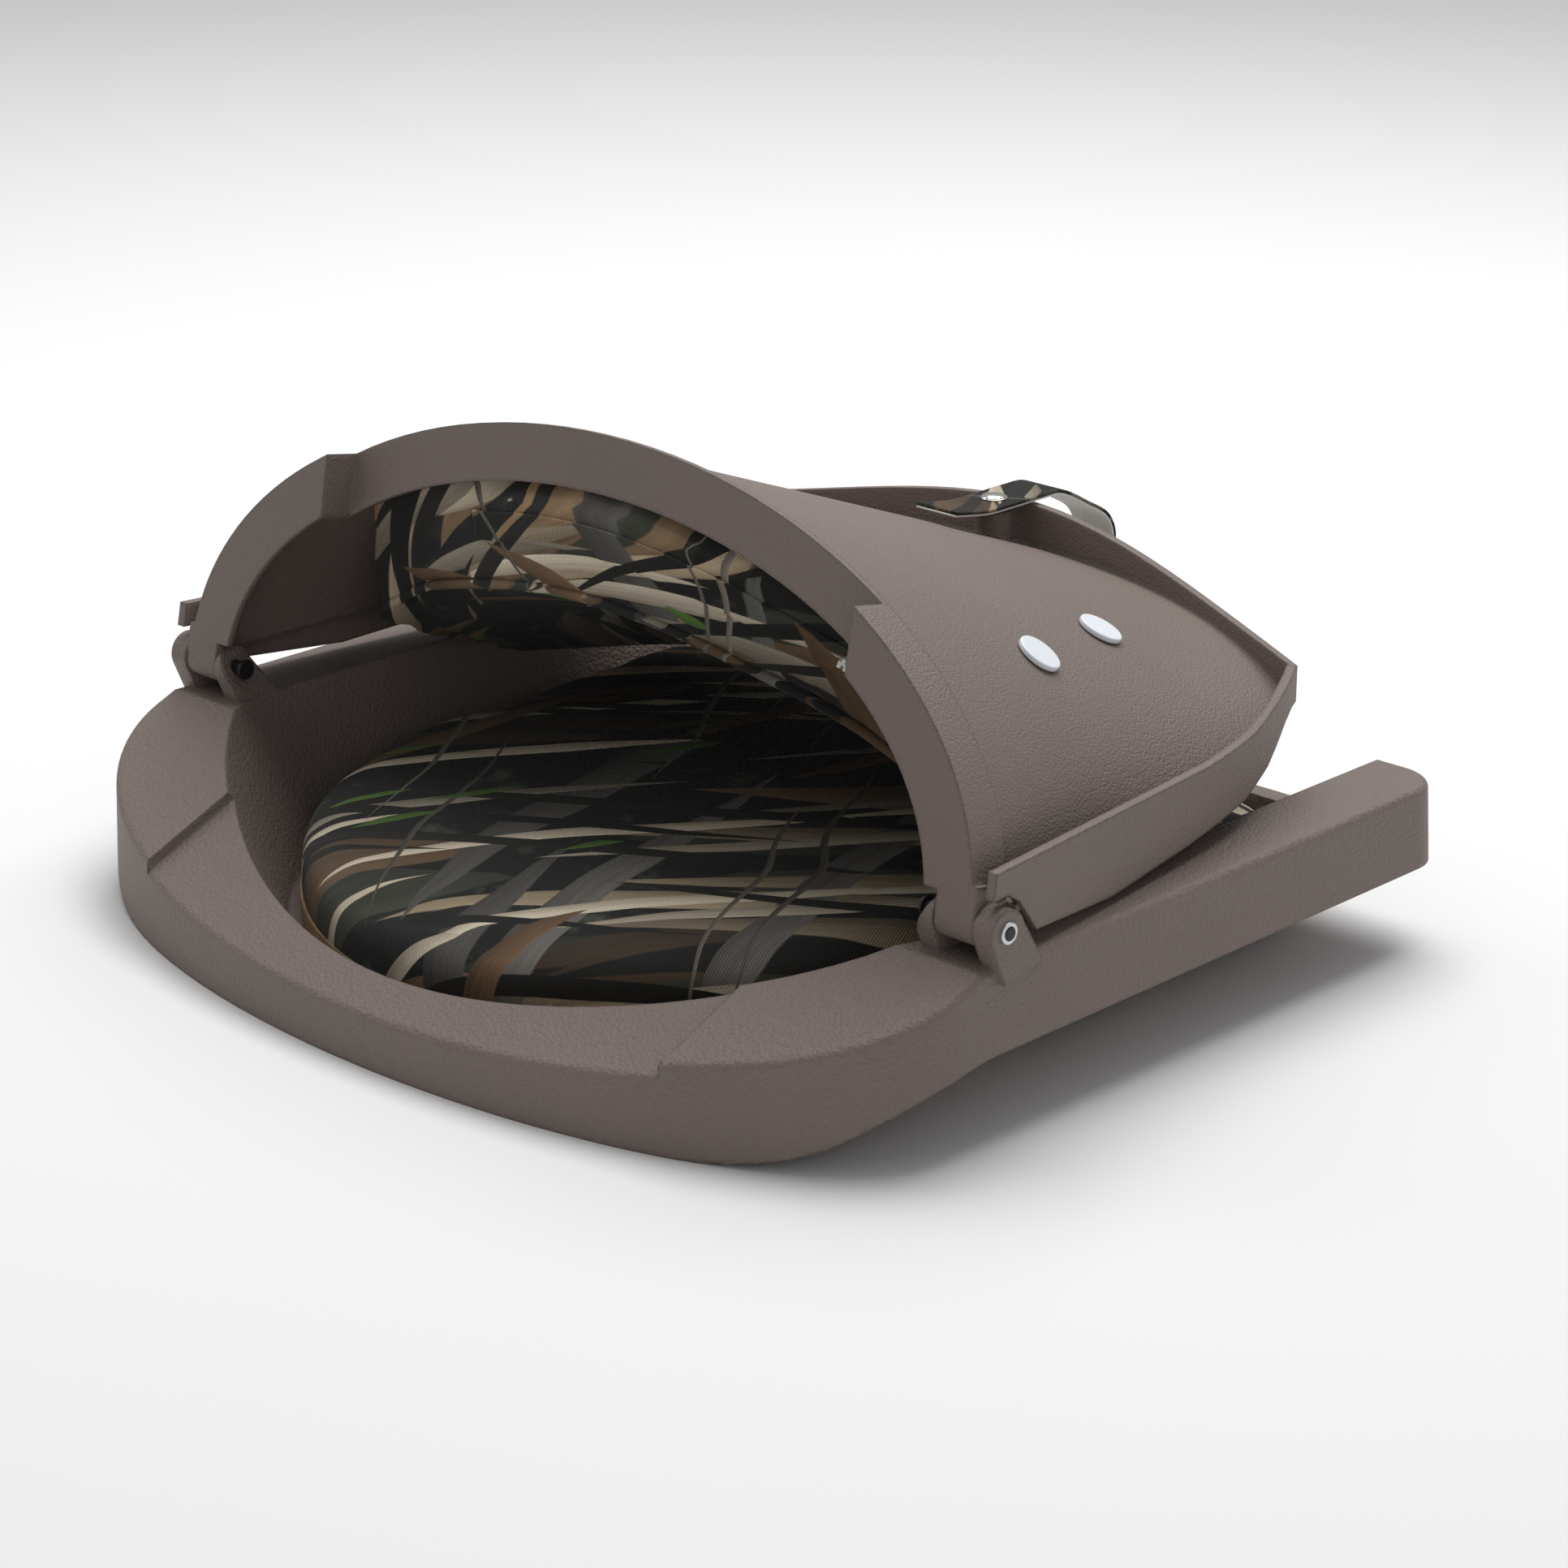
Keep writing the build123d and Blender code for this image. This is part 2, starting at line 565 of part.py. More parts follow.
with BuildPart() as back_shell:
    add(tray_floor)
    add(panel_outside)
    add(panel_inside, mode=Mode.SUBTRACT)
    add(tray_prism(bead_wall / 2, 60, 300), mode=Mode.INTERSECT)
    add(tray_wall.part)
    # arch band: deep at first, then hollowed in front of its side sections
    add(arch_ring(arch_half_width, arch_height, band_width, 0, band_recess + wall))
    add(side_hollows.part, mode=Mode.SUBTRACT)
    add(behind_band(0, half + 20), mode=Mode.SUBTRACT)
    add(behind_band(band_recess, step_half_width), mode=Mode.SUBTRACT)
    # room for the ears
    for side in (-1, 1):
        for x in (inner_ear, outer_ear):
            with BuildSketch(side_plane.offset(side * x)):
                with Locations((hinge_y, hinge_z)):
                    Circle(ear_radius + ear_room)
                    Rectangle(2 * (ear_radius + ear_room), 2 * (ear_radius + ear_room), rotation=band_tilt)
            extrude(amount=ear_thickness / 2 + side_gap + 0.3, both=True, mode=Mode.SUBTRACT)
    # knuckles
    for side in (-1, 1):
        with BuildSketch(side_plane.offset(side * knuckle_x)):
            with Locations(Location((hinge_y, hinge_z, 0), (0, 0, band_tilt))):
                Circle(knuckle_radius)
                with Locations((0, (panel_side_drop - 2) / 2)):
                    Rectangle(2 * knuckle_radius, panel_side_drop - 2)
                with Locations((knuckle_radius - wall, knuckle_rise / 2)):
                    Rectangle(2 * wall, knuckle_rise)
        extrude(amount=knuckle_width / 2, both=True)
    add(snap_boss.part)
    # holes: hinge pins, boss screw, push-in fasteners
    with Locations(hinge_axis_plane):
        Cylinder(pin_radius + pin_clearance, seat_width + 40, mode=Mode.SUBTRACT)
    with BuildSketch(Plane.XY.offset(boss_top_z)):
        with Locations((0, hinge_y - boss_back)):
            Circle(snap_screw_radius + 0.02)
    extrude(amount=-snap_screw_length, mode=Mode.SUBTRACT)
    for plane in fastener_planes:
        with BuildSketch(plane.offset(2)):
            Circle(fastener_shank + 0.1)
        extrude(amount=-wall - 8, mode=Mode.SUBTRACT)
back_shell.part.label = "back_shell"
export_step(back_shell.part, "parts/back_shell.step")

# ---------------------------------------------------------------- back_fasteners
with BuildPart() as back_fasteners:
    for plane in fastener_planes:
        with BuildSketch(plane.offset(0.3)):
            Circle(fastener_radius)
        extrude(amount=fastener_head)
        with BuildSketch(plane.offset(0.3)):
            Circle(fastener_shank)
        extrude(amount=-fastener_length)
    heads = back_fasteners.edges().filter_by(GeomType.CIRCLE)
    fillet(heads.filter_by(lambda e: e.radius > fastener_radius - 0.1).group_by(SortBy.LENGTH)[-1], 0.9)
back_fasteners.part.label = "back_fasteners"
export_step(back_fasteners.part, "parts/back_fasteners.step")


# ---------------------------------------------------------------- back cushion: cover, board, foam
def cushion_plan(plane, inset):
    """Outline of the back cushion seen from above: bowed at both ends, a little wider at the front."""
    rear_side = (back_cushion_half + 2 - inset, hinge_y - back_cushion_rear - 30 - 0.3 * inset)
    front_side = (back_cushion_half + 14 - inset, hinge_y - 200)
    corner = (back_cushion_half - 16 - inset, hinge_y - back_cushion_front + 30 + 0.9 * inset)
    with BuildSketch(plane) as plan:
        with BuildLine():
            ThreePointArc((-rear_side[0], rear_side[1]), (0, hinge_y - back_cushion_rear - inset), rear_side)
            Line(rear_side, front_side)
            ThreePointArc(front_side, (front_side[0] - 7, front_side[1] - 31), corner)
            ThreePointArc(corner, (0, hinge_y - back_cushion_front + inset), (-corner[0], corner[1]))
            ThreePointArc((-corner[0], corner[1]), (7 - front_side[0], front_side[1] - 31),
                          (-front_side[0], front_side[1]))
            Line((-front_side[0], front_side[1]), (-rear_side[0], rear_side[1]))
        make_face()
    return plan.sketch


def back_pad(lowered, depth, inset):
    """Layer under the panel: its top is lowered from the panel's inside, and it has an even depth."""
    band_front = band_recess + wall + 1 + inset
    with BuildPart() as body:
        add(dome(wall, 120, lowered))
        add(dome(wall, 130, lowered + depth), mode=Mode.SUBTRACT)
        with BuildSketch(Plane.XY.offset(back_cushion_low_z + inset)):
            add(cushion_plan(Plane.XY, inset))
        extrude(amount=260, mode=Mode.INTERSECT)
        add(arch_ring(arch_half_width + 20, arch_height + 20, band_width + 21 + inset, -30, 30 + band_front),
            mode=Mode.SUBTRACT)
    return body.part


board_drop = cushion_gap + cover_thickness + 0.1
foam_drop = board_drop + board_thickness + 0.1
inner_depth = back_cushion_depth - 2 * cover_thickness


def without_shanks(part):
    """The part with a hole for each push-in fastener."""
    with BuildPart() as body:
        add(part)
        for plane in fastener_planes:
            with BuildSketch(plane):
                Circle(fastener_shank)
            extrude(amount=-fastener_length - 0.5, mode=Mode.SUBTRACT)
    return body.part


with BuildPart() as back_cover:
    add(back_pad(cushion_gap, back_cushion_depth, 0))
    add(back_pad(cushion_gap + cover_thickness, inner_depth, cover_thickness), mode=Mode.SUBTRACT)
    add(without_shanks(back_cover.part), mode=Mode.REPLACE)
back_cover.part.label = "back_cover"
export_step(back_cover.part, "parts/back_cover.step")

with BuildPart() as back_board:
    add(without_shanks(back_pad(board_drop, board_thickness, cover_thickness + 2)))
back_board.part.label = "back_board"
export_step(back_board.part, "parts/back_board.step")

with BuildPart() as back_foam:
    add(without_shanks(back_pad(foam_drop, inner_depth - board_thickness - 0.3, cover_thickness + 0.1)))
back_foam.part.label = "back_foam"
export_step(back_foam.part, "parts/back_foam.step")

# zip in the cushion's rear seam, on its rear face
with BuildPart() as back_zip:
    add(dome(wall, 130, back_cushion_depth / 2 - zip_width / 2))
    add(dome(wall, 130, back_cushion_depth / 2 + zip_width / 2), mode=Mode.SUBTRACT)
    with BuildSketch(Plane.XY):
        add(cushion_plan(Plane.XY, -zip_thickness - 0.2))
        add(cushion_plan(Plane.XY, -0.2), mode=Mode.SUBTRACT)
        with Locations(((zip_span[0] + zip_span[1]) / 2, hinge_y - 50)):
            Rectangle(zip_span[1] - zip_span[0], 100, mode=Mode.INTERSECT)
    extrude(amount=300, mode=Mode.INTERSECT)
back_zip.part.label = "back_zip"
export_step(back_zip.part, "parts/back_zip.step")

# ---------------------------------------------------------------- snap: stud and its screw, socket and cap
stud_plane = Plane.XY.offset(boss_top_z).shift_origin((0, hinge_y - boss_back, boss_top_z))
with BuildPart() as snap_stud:
    with BuildSketch(stud_plane):
        Circle(snap_radius)
    extrude(amount=stud_base)
    with BuildSketch(stud_plane):
        Circle(stud_radius)
    extrude(amount=stud_height)
    fillet(snap_stud.faces().sort_by(Axis.Z)[-1].edges(), 0.5)
    with BuildSketch(stud_plane):
        Circle(snap_screw_radius + 0.05)
    extrude(amount=stud_height, mode=Mode.SUBTRACT)
    with BuildSketch(stud_plane.offset(stud_height - snap_screw_head)):
        Circle(snap_screw_radius + 0.7)
    extrude(amount=snap_screw_head, mode=Mode.SUBTRACT)
snap_stud.part.label = "snap_stud"
export_step(snap_stud.part, "parts/snap_stud.step")

with BuildPart() as snap_stud_screw:
    with BuildSketch(stud_plane.offset(stud_height)):
        Circle(snap_screw_radius + 0.65)
    extrude(amount=-snap_screw_head + 0.05)
    with BuildSketch(stud_plane.offset(stud_height)):
        Circle(snap_screw_radius)
    extrude(amount=0.5 - snap_screw_length)
snap_stud_screw.part.label = "snap_stud_screw"
export_step(snap_stud_screw.part, "parts/snap_stud_screw.step")

socket_z = boss_top_z + stud_base + 0.2
snap_plane = Plane.XY.shift_origin((0, hinge_y - boss_back, 0))
with BuildPart() as snap_socket:
    with BuildSketch(snap_plane.offset(socket_z)):
        Circle(snap_radius - 0.4)
        Circle(socket_bore, mode=Mode.SUBTRACT)
    extrude(amount=strap_level_z - socket_z)
snap_socket.part.label = "snap_socket"
export_step(snap_socket.part, "parts/snap_socket.step")

# ---------------------------------------------------------------- strap: tab that lifts, and its fixed bow
tab_end = (hinge_y - boss_back + 40, strap_level_z + 4)
crest = (hinge_y - strap_crest_back, strap_level_z)


def tab_layer(low, high):
    """Layer of the lifting tab, between two levels above its underside, with a round end."""
    with BuildPart() as body:
        with BuildSketch(side_plane):
            with BuildLine():
                for level in (low, high):
                    Polyline((crest[0] + strap_end_gap, crest[1] + level),
                             (hinge_y - boss_back + 10, crest[1] + level), (tab_end[0], tab_end[1] + level))
                Line((crest[0] + strap_end_gap, crest[1] + low), (crest[0] + strap_end_gap, crest[1] + high))
                Line((tab_end[0], tab_end[1] + low), (tab_end[0], tab_end[1] + high))
            make_face()
        extrude(amount=strap_width / 2, both=True)
        with BuildSketch(snap_plane):
            Circle(snap_post)
        extrude(amount=400, mode=Mode.SUBTRACT)
    return body.part


strap_thickness = webbing_thickness + strap_thickness_top
with BuildPart() as strap_webbing:
    add(tab_layer(0, webbing_thickness))
strap_webbing.part.label = "strap_webbing"
export_step(strap_webbing.part, "parts/strap_webbing.step")

with BuildPart() as retaining_strap:
    add(tab_layer(webbing_thickness, strap_thickness))
retaining_strap.part.label = "retaining_strap"
export_step(retaining_strap.part, "parts/retaining_strap.step")

with BuildPart() as snap_cap:
    with BuildSketch(snap_plane.offset(strap_level_z + strap_thickness)):
        Circle(snap_radius)
    extrude(amount=cap_height)
    fillet(snap_cap.faces().sort_by(Axis.Z)[-1].edges(), cap_height - 0.4)
    with BuildSketch(snap_plane.offset(strap_level_z)):
        Circle(snap_post)
    extrude(amount=strap_thickness + 0.2)
snap_cap.part.label = "snap_cap"
export_step(snap_cap.part, "parts/snap_cap.step")

# the strap's bow, from the crest of the rim round to the cushion's front seam
bow_level = crest[1] + strap_thickness / 2
bow_points = [(crest[0] - 2, bow_level), (crest[0] - 14, bow_level - 1), (crest[0] - 32, bow_level - 10),
              (crest[0] - 48, bow_level - 20), (crest[0] - 52, bow_level - 34), (crest[0] - 38, bow_level - 48),
              (crest[0] - 6, bow_level - 50), (hinge_y - back_cushion_front - 0.6, bow_level - 48)]
with BuildPart() as strap_base:
    with BuildSketch(side_plane):
        with BuildLine() as bow:
            FilletPolyline(*bow_points, radius=bow_radius)
        trace(line_width=strap_thickness)
    extrude(amount=strap_width / 2, both=True)
strap_base.part.label = "strap_base"
export_step(strap_base.part, "parts/strap_base.step")
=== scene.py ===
"""Folding boat seat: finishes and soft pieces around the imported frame.

Laid out as an add-on: one operator makes each group of pieces, and main() calls them in order.
"""
import math

import bmesh
import bpy
import numpy as np
from bpy.props import FloatProperty, FloatVectorProperty, IntProperty, PointerProperty
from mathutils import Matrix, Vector
from mathutils.bvhtree import BVHTree


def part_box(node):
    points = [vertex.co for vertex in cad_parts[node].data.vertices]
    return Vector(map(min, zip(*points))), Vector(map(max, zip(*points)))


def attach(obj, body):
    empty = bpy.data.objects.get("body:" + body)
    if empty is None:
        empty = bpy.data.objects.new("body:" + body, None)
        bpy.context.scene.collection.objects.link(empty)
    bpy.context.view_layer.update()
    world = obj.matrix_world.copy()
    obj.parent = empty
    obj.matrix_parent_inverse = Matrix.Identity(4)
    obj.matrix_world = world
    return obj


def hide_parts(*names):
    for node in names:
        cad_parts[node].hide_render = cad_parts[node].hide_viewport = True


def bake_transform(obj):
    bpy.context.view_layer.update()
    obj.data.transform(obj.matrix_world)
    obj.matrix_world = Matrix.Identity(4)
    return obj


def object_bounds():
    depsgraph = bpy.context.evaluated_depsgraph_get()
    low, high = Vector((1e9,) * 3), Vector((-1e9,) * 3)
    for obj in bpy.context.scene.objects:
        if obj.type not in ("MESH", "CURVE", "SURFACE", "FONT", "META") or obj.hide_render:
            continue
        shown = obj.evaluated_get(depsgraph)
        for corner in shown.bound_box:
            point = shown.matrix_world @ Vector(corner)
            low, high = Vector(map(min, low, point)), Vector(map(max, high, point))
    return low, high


bl_info = {
    "name": "Folding Boat Seat",
    "version": (1, 0, 0),
    "blender": (4, 5, 0),
    "location": "3D View > Sidebar > Boat Seat",
    "description": "Moulded shells, padded reed-print cushions, zip and snap strap of a folding boat seat",
    "category": "Add Mesh",
}

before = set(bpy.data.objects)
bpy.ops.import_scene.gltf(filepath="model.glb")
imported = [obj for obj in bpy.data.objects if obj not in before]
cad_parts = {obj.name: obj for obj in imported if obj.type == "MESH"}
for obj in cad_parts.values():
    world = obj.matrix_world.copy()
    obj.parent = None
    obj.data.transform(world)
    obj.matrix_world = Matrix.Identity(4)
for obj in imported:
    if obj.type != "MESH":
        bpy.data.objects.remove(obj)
CAD_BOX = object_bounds()


# ---------------------------------------------------------------- settings
class ShellFinish(bpy.types.PropertyGroup):
    """Moulded plastic of the two shells."""

    color: FloatVectorProperty(
        name="Colour", description="Colour of the moulded plastic", subtype="COLOR", size=3,
        default=(0.185, 0.146, 0.129), min=0, max=1)
    roughness: FloatProperty(name="Roughness", description="Roughness of the moulded surface", default=0.56)
    grain: FloatProperty(
        name="Grain", description="Distance between the pebbles of the moulded grain", default=0.0013,
        unit="LENGTH")
    grain_depth: FloatProperty(
        name="Grain depth", description="Depth of the moulded grain", default=0.00045, unit="LENGTH")


class ClothFinish(bpy.types.PropertyGroup):
    """Printed twill of the cushion covers and the strap."""

    rib: FloatProperty(
        name="Rib pitch", description="Distance between two twill ribs", default=0.00125, unit="LENGTH")
    rib_depth: FloatProperty(
        name="Rib depth", description="Depth of the twill ribs", default=0.00025, unit="LENGTH")
    blade_length: FloatProperty(
        name="Blade length", description="Length of the printed reed blades", default=0.19, unit="LENGTH")
    blade_width: FloatProperty(
        name="Blade width", description="Width of the widest printed blades", default=0.033, unit="LENGTH")


class Stuffing(bpy.types.PropertyGroup):
    """How the cushions are filled."""

    voxel: FloatProperty(
        name="Cell", description="Cell size of the cushion meshes before stuffing", default=0.0045,
        unit="LENGTH")
    pressure: FloatProperty(name="Pressure", description="Pressure inside the covers", default=4.0)
    swell: FloatProperty(
        name="Swell", description="Furthest that a cover may bulge", default=0.009, unit="LENGTH")
    frames: IntProperty(name="Frames", description="Frames of the cloth simulation", default=20)


class Trim(bpy.types.PropertyGroup):
    """Strap, zip and piping."""

    piping: FloatProperty(
        name="Piping", description="Radius of the corded seams", default=0.0022, unit="LENGTH")
    tooth: FloatProperty(
        name="Tooth pitch", description="Distance between two zip teeth", default=0.0030, unit="LENGTH")


class Studio(bpy.types.PropertyGroup):
    """Floor, lights and camera."""

    floor_color: FloatVectorProperty(
        name="Floor colour", description="Colour of the floor", subtype="COLOR", size=3,
        default=(0.86, 0.86, 0.86), min=0, max=1)
    key_power: FloatProperty(name="Key light", description="Power of the light above", default=50.0)
    fill_power: FloatProperty(
        name="Fill light", description="Power of the light behind the camera", default=5.0)
    sky: FloatProperty(name="Sky", description="Strength of the even surrounding light", default=0.34)
    lens: FloatProperty(
        name="Lens", description="Focal length of the camera", default=97.6, unit="CAMERA")


class BoatSeatSettings(bpy.types.PropertyGroup):
    """All settings of the boat seat."""

    shell: PointerProperty(type=ShellFinish)
    cloth: PointerProperty(type=ClothFinish)
    stuffing: PointerProperty(type=Stuffing)
    trim: PointerProperty(type=Trim)
    studio: PointerProperty(type=Studio)


def settings():
    """The scene's boat seat settings."""
    return bpy.context.scene.boat_seat


# ---------------------------------------------------------------- node helpers
def place(tree, kind, inputs=None, **options):
    """Adds a node, sets its options, and sets or links its inputs."""
    made = tree.nodes.new(kind)
    for key, value in options.items():
        setattr(made, key, value)
    for key, value in (inputs or {}).items():
        if isinstance(value, bpy.types.NodeSocket):
            tree.links.new(value, made.inputs[key])
        else:
            made.inputs[key].default_value = value
    return made


def maths(tree, operation, a, b=0.0, c=0.0, clamp=False):
    """A Math node's value."""
    return place(tree, "ShaderNodeMath", {0: a, 1: b, 2: c}, operation=operation, use_clamp=clamp).outputs[0]


def vector_maths(tree, operation, a, b=(0, 0, 0)):
    """A Vector Math node's vector."""
    return place(tree, "ShaderNodeVectorMath", {0: a, 1: b}, operation=operation).outputs[0]


def blend_colors(tree, factor, a, b, mode="MIX"):
    """A colour Mix node's result."""
    made = place(tree, "ShaderNodeMix", data_type="RGBA", blend_type=mode)
    for key, value in ((0, factor), (6, a), (7, b)):
        if isinstance(value, bpy.types.NodeSocket):
            tree.links.new(value, made.inputs[key])
        elif key == 0:
            made.inputs[key].default_value = value
        else:
            made.inputs[key].default_value = (*value[:3], 1.0)
    return made.outputs[2]


def group(name, sockets_in, sockets_out):
    """Starts a node group with named sockets, given as (name, kind, default)."""
    tree = bpy.data.node_groups.new(name, "ShaderNodeTree")
    for label, kind, default in sockets_in:
        socket = tree.interface.new_socket(label, in_out="INPUT", socket_type=kind)
        if default is not None:
            socket.default_value = default
    for label, kind in sockets_out:
        tree.interface.new_socket(label, in_out="OUTPUT", socket_type=kind)
    return tree, tree.nodes.new("NodeGroupInput"), tree.nodes.new("NodeGroupOutput")


def use_group(tree, made_group, inputs):
    """Places a node group, then sets or links its inputs."""
    made = tree.nodes.new("ShaderNodeGroup")
    made.node_tree = made_group
    for key, value in inputs.items():
        if isinstance(value, bpy.types.NodeSocket):
            tree.links.new(value, made.inputs[key])
        else:
            made.inputs[key].default_value = value
    return made


def new_material(name):
    """A material with an empty Principled BSDF, as (material, tree, shader)."""
    material = bpy.data.materials.new(name)
    material.use_nodes = True
    tree = material.node_tree
    return material, tree, tree.nodes["Principled BSDF"]


def bump(tree, height, distance, strength=1.0, normal=None):
    """A Bump node's normal."""
    made = place(tree, "ShaderNodeBump", {"Height": height, "Distance": distance, "Strength": strength})
    if normal is not None:
        tree.links.new(normal, made.inputs["Normal"])
    return made.outputs[0]


# ---------------------------------------------------------------- shared node groups
def pebble_grain():
    """Moulded grain: rounded Voronoi pebbles broken up by noise, and a slow unevenness of tone."""
    tree, given, out = group(
        "Pebble grain", [("Vector", "NodeSocketVector", None), ("Size", "NodeSocketFloat", 0.0013)],
        [("Height", "NodeSocketFloat"), ("Tone", "NodeSocketFloat")])
    per_metre = maths(tree, "DIVIDE", 1.0, given.outputs["Size"])
    wander = place(tree, "ShaderNodeTexNoise",
                   {"Vector": given.outputs["Vector"], "Scale": 260.0, "Detail": 2.0})
    wander_shift = vector_maths(tree, "SCALE", wander.outputs["Color"])
    wander_shift.node.inputs["Scale"].default_value = 0.0009
    warped = vector_maths(tree, "ADD", given.outputs["Vector"], wander_shift)
    cells = place(tree, "ShaderNodeTexVoronoi", {"Vector": warped, "Scale": per_metre, "Randomness": 1.0},
                  feature="SMOOTH_F1")
    cells.inputs["Smoothness"].default_value = 0.6
    speck = place(tree, "ShaderNodeTexNoise",
                  {"Vector": given.outputs["Vector"], "Scale": 1500.0, "Detail": 2.0})
    height = maths(tree, "SUBTRACT", 1.0, cells.outputs["Distance"])
    height = maths(tree, "ADD", height, maths(tree, "MULTIPLY", speck.outputs["Fac"], 0.5))
    slow = place(tree, "ShaderNodeTexNoise", {"Vector": given.outputs["Vector"], "Scale": 9.0, "Detail": 3.0})
    tone = maths(tree, "ADD", maths(tree, "MULTIPLY", slow.outputs["Fac"], 0.7),
                 maths(tree, "MULTIPLY", speck.outputs["Fac"], 0.3))
    tree.links.new(height, out.inputs["Height"])
    tree.links.new(tone, out.inputs["Tone"])
    return tree


def reed_layer():
    """One layer of printed blades.

    The place is turned, bent by slow noise and stretched. Each Voronoi cell then holds one blade,
    as wide as a parabola along its length, kept only for a share of the cells.
    """
    tree, given, out = group(
        "Reed layer",
        [("Vector", "NodeSocketVector", None), ("Angle", "NodeSocketFloat", 0.0),
         ("Length", "NodeSocketFloat", 0.15), ("Width", "NodeSocketFloat", 0.02),
         ("Bend", "NodeSocketFloat", 0.02), ("Share", "NodeSocketFloat", 0.5),
         ("Seed", "NodeSocketFloat", 0.0)],
        [("Mask", "NodeSocketFloat"), ("Shade", "NodeSocketFloat"), ("Pick", "NodeSocketFloat")])
    turned = place(tree, "ShaderNodeVectorRotate",
                   {"Vector": given.outputs["Vector"], "Angle": given.outputs["Angle"]},
                   rotation_type="Z_AXIS")
    seed = place(tree, "ShaderNodeCombineXYZ", {"X": maths(tree, "MULTIPLY", given.outputs["Seed"], 1.37),
                                                "Y": maths(tree, "MULTIPLY", given.outputs["Seed"], 0.83)})
    moved = vector_maths(tree, "ADD", turned.outputs[0], seed.outputs[0])
    sway = place(tree, "ShaderNodeTexNoise", {"Vector": moved, "Scale": 7.0, "Detail": 1.0})
    sway_middle = vector_maths(tree, "SUBTRACT", sway.outputs["Color"], (0.5, 0.5, 0.5))
    sway_scaled = vector_maths(tree, "SCALE", sway_middle)
    tree.links.new(given.outputs["Bend"], sway_scaled.node.inputs["Scale"])
    bent = vector_maths(tree, "ADD", moved, sway_scaled)
    size = place(tree, "ShaderNodeCombineXYZ",
                 {"X": given.outputs["Length"], "Y": given.outputs["Width"], "Z": 1.0})
    cell_place = vector_maths(tree, "DIVIDE", bent, size.outputs[0])
    cell = place(tree, "ShaderNodeTexVoronoi", {"Vector": cell_place, "Scale": 1.0, "Randomness": 1.0},
                 voronoi_dimensions="2D")
    local = place(tree, "ShaderNodeSeparateXYZ",
                  {0: vector_maths(tree, "SUBTRACT", cell_place, cell.outputs["Position"])})
    random = place(tree, "ShaderNodeSeparateColor", {0: cell.outputs["Color"]})
    along = maths(tree, "MULTIPLY", local.outputs[0], 1.6)
    edge = maths(tree, "SUBTRACT", 1.0, maths(tree, "MULTIPLY", along, along))
    ragged = place(tree, "ShaderNodeTexNoise", {"Vector": cell_place, "Scale": 3.0, "Detail": 4.0})
    half_width = maths(tree, "MULTIPLY", edge, 0.42)
    ragged_edge = maths(tree, "MULTIPLY_ADD", ragged.outputs["Fac"], 0.16, -0.08)
    half_width = maths(tree, "ADD", half_width, ragged_edge)
    across = local.outputs[1]
    inside = maths(tree, "SUBTRACT", half_width, maths(tree, "ABSOLUTE", across))
    shape = maths(tree, "MULTIPLY", inside, 28.0, clamp=True)
    kept = maths(tree, "LESS_THAN", random.outputs[1], given.outputs["Share"])
    streak_place = vector_maths(tree, "MULTIPLY", cell_place, (2.2, 9.0, 1.0))
    streak = place(tree, "ShaderNodeTexNoise", {"Vector": streak_place, "Scale": 1.0, "Detail": 5.0,
                                                "Roughness": 0.7})
    side_light = maths(tree, "MULTIPLY_ADD", across, 1.1, 0.5)
    shade = maths(tree, "ADD", maths(tree, "MULTIPLY", side_light, 0.55),
                  maths(tree, "MULTIPLY", streak.outputs["Fac"], 0.75))
    shade = maths(tree, "SUBTRACT", shade, 0.18, clamp=True)
    tree.links.new(maths(tree, "MULTIPLY", shape, kept), out.inputs["Mask"])
    tree.links.new(shade, out.inputs["Shade"])
    tree.links.new(random.outputs[0], out.inputs["Pick"])
    return tree


def twill_weave():
    """Diagonal ribs: a rounded sine across a slanted direction, cut by a finer thread along them."""
    tree, given, out = group(
        "Twill weave", [("Vector", "NodeSocketVector", None), ("Pitch", "NodeSocketFloat", 0.0012)],
        [("Height", "NodeSocketFloat")])
    parts = place(tree, "ShaderNodeSeparateXYZ", {0: given.outputs["Vector"]})
    slant = maths(tree, "ADD", parts.outputs[0], maths(tree, "MULTIPLY", parts.outputs[1], 0.35))
    turns = maths(tree, "MULTIPLY", maths(tree, "DIVIDE", slant, given.outputs["Pitch"]), 2 * math.pi)
    rib = maths(tree, "MULTIPLY_ADD", maths(tree, "SINE", turns), 0.5, 0.5)
    cross = maths(tree, "SUBTRACT", parts.outputs[1], maths(tree, "MULTIPLY", parts.outputs[0], 0.6))
    cross_turns = maths(tree, "MULTIPLY", maths(tree, "DIVIDE", cross, given.outputs["Pitch"]), 3.1 * math.pi)
    thread = maths(tree, "MULTIPLY_ADD", maths(tree, "SINE", cross_turns), 0.12, 0.12)
    tree.links.new(maths(tree, "ADD", rib, thread), out.inputs["Height"])
    return tree


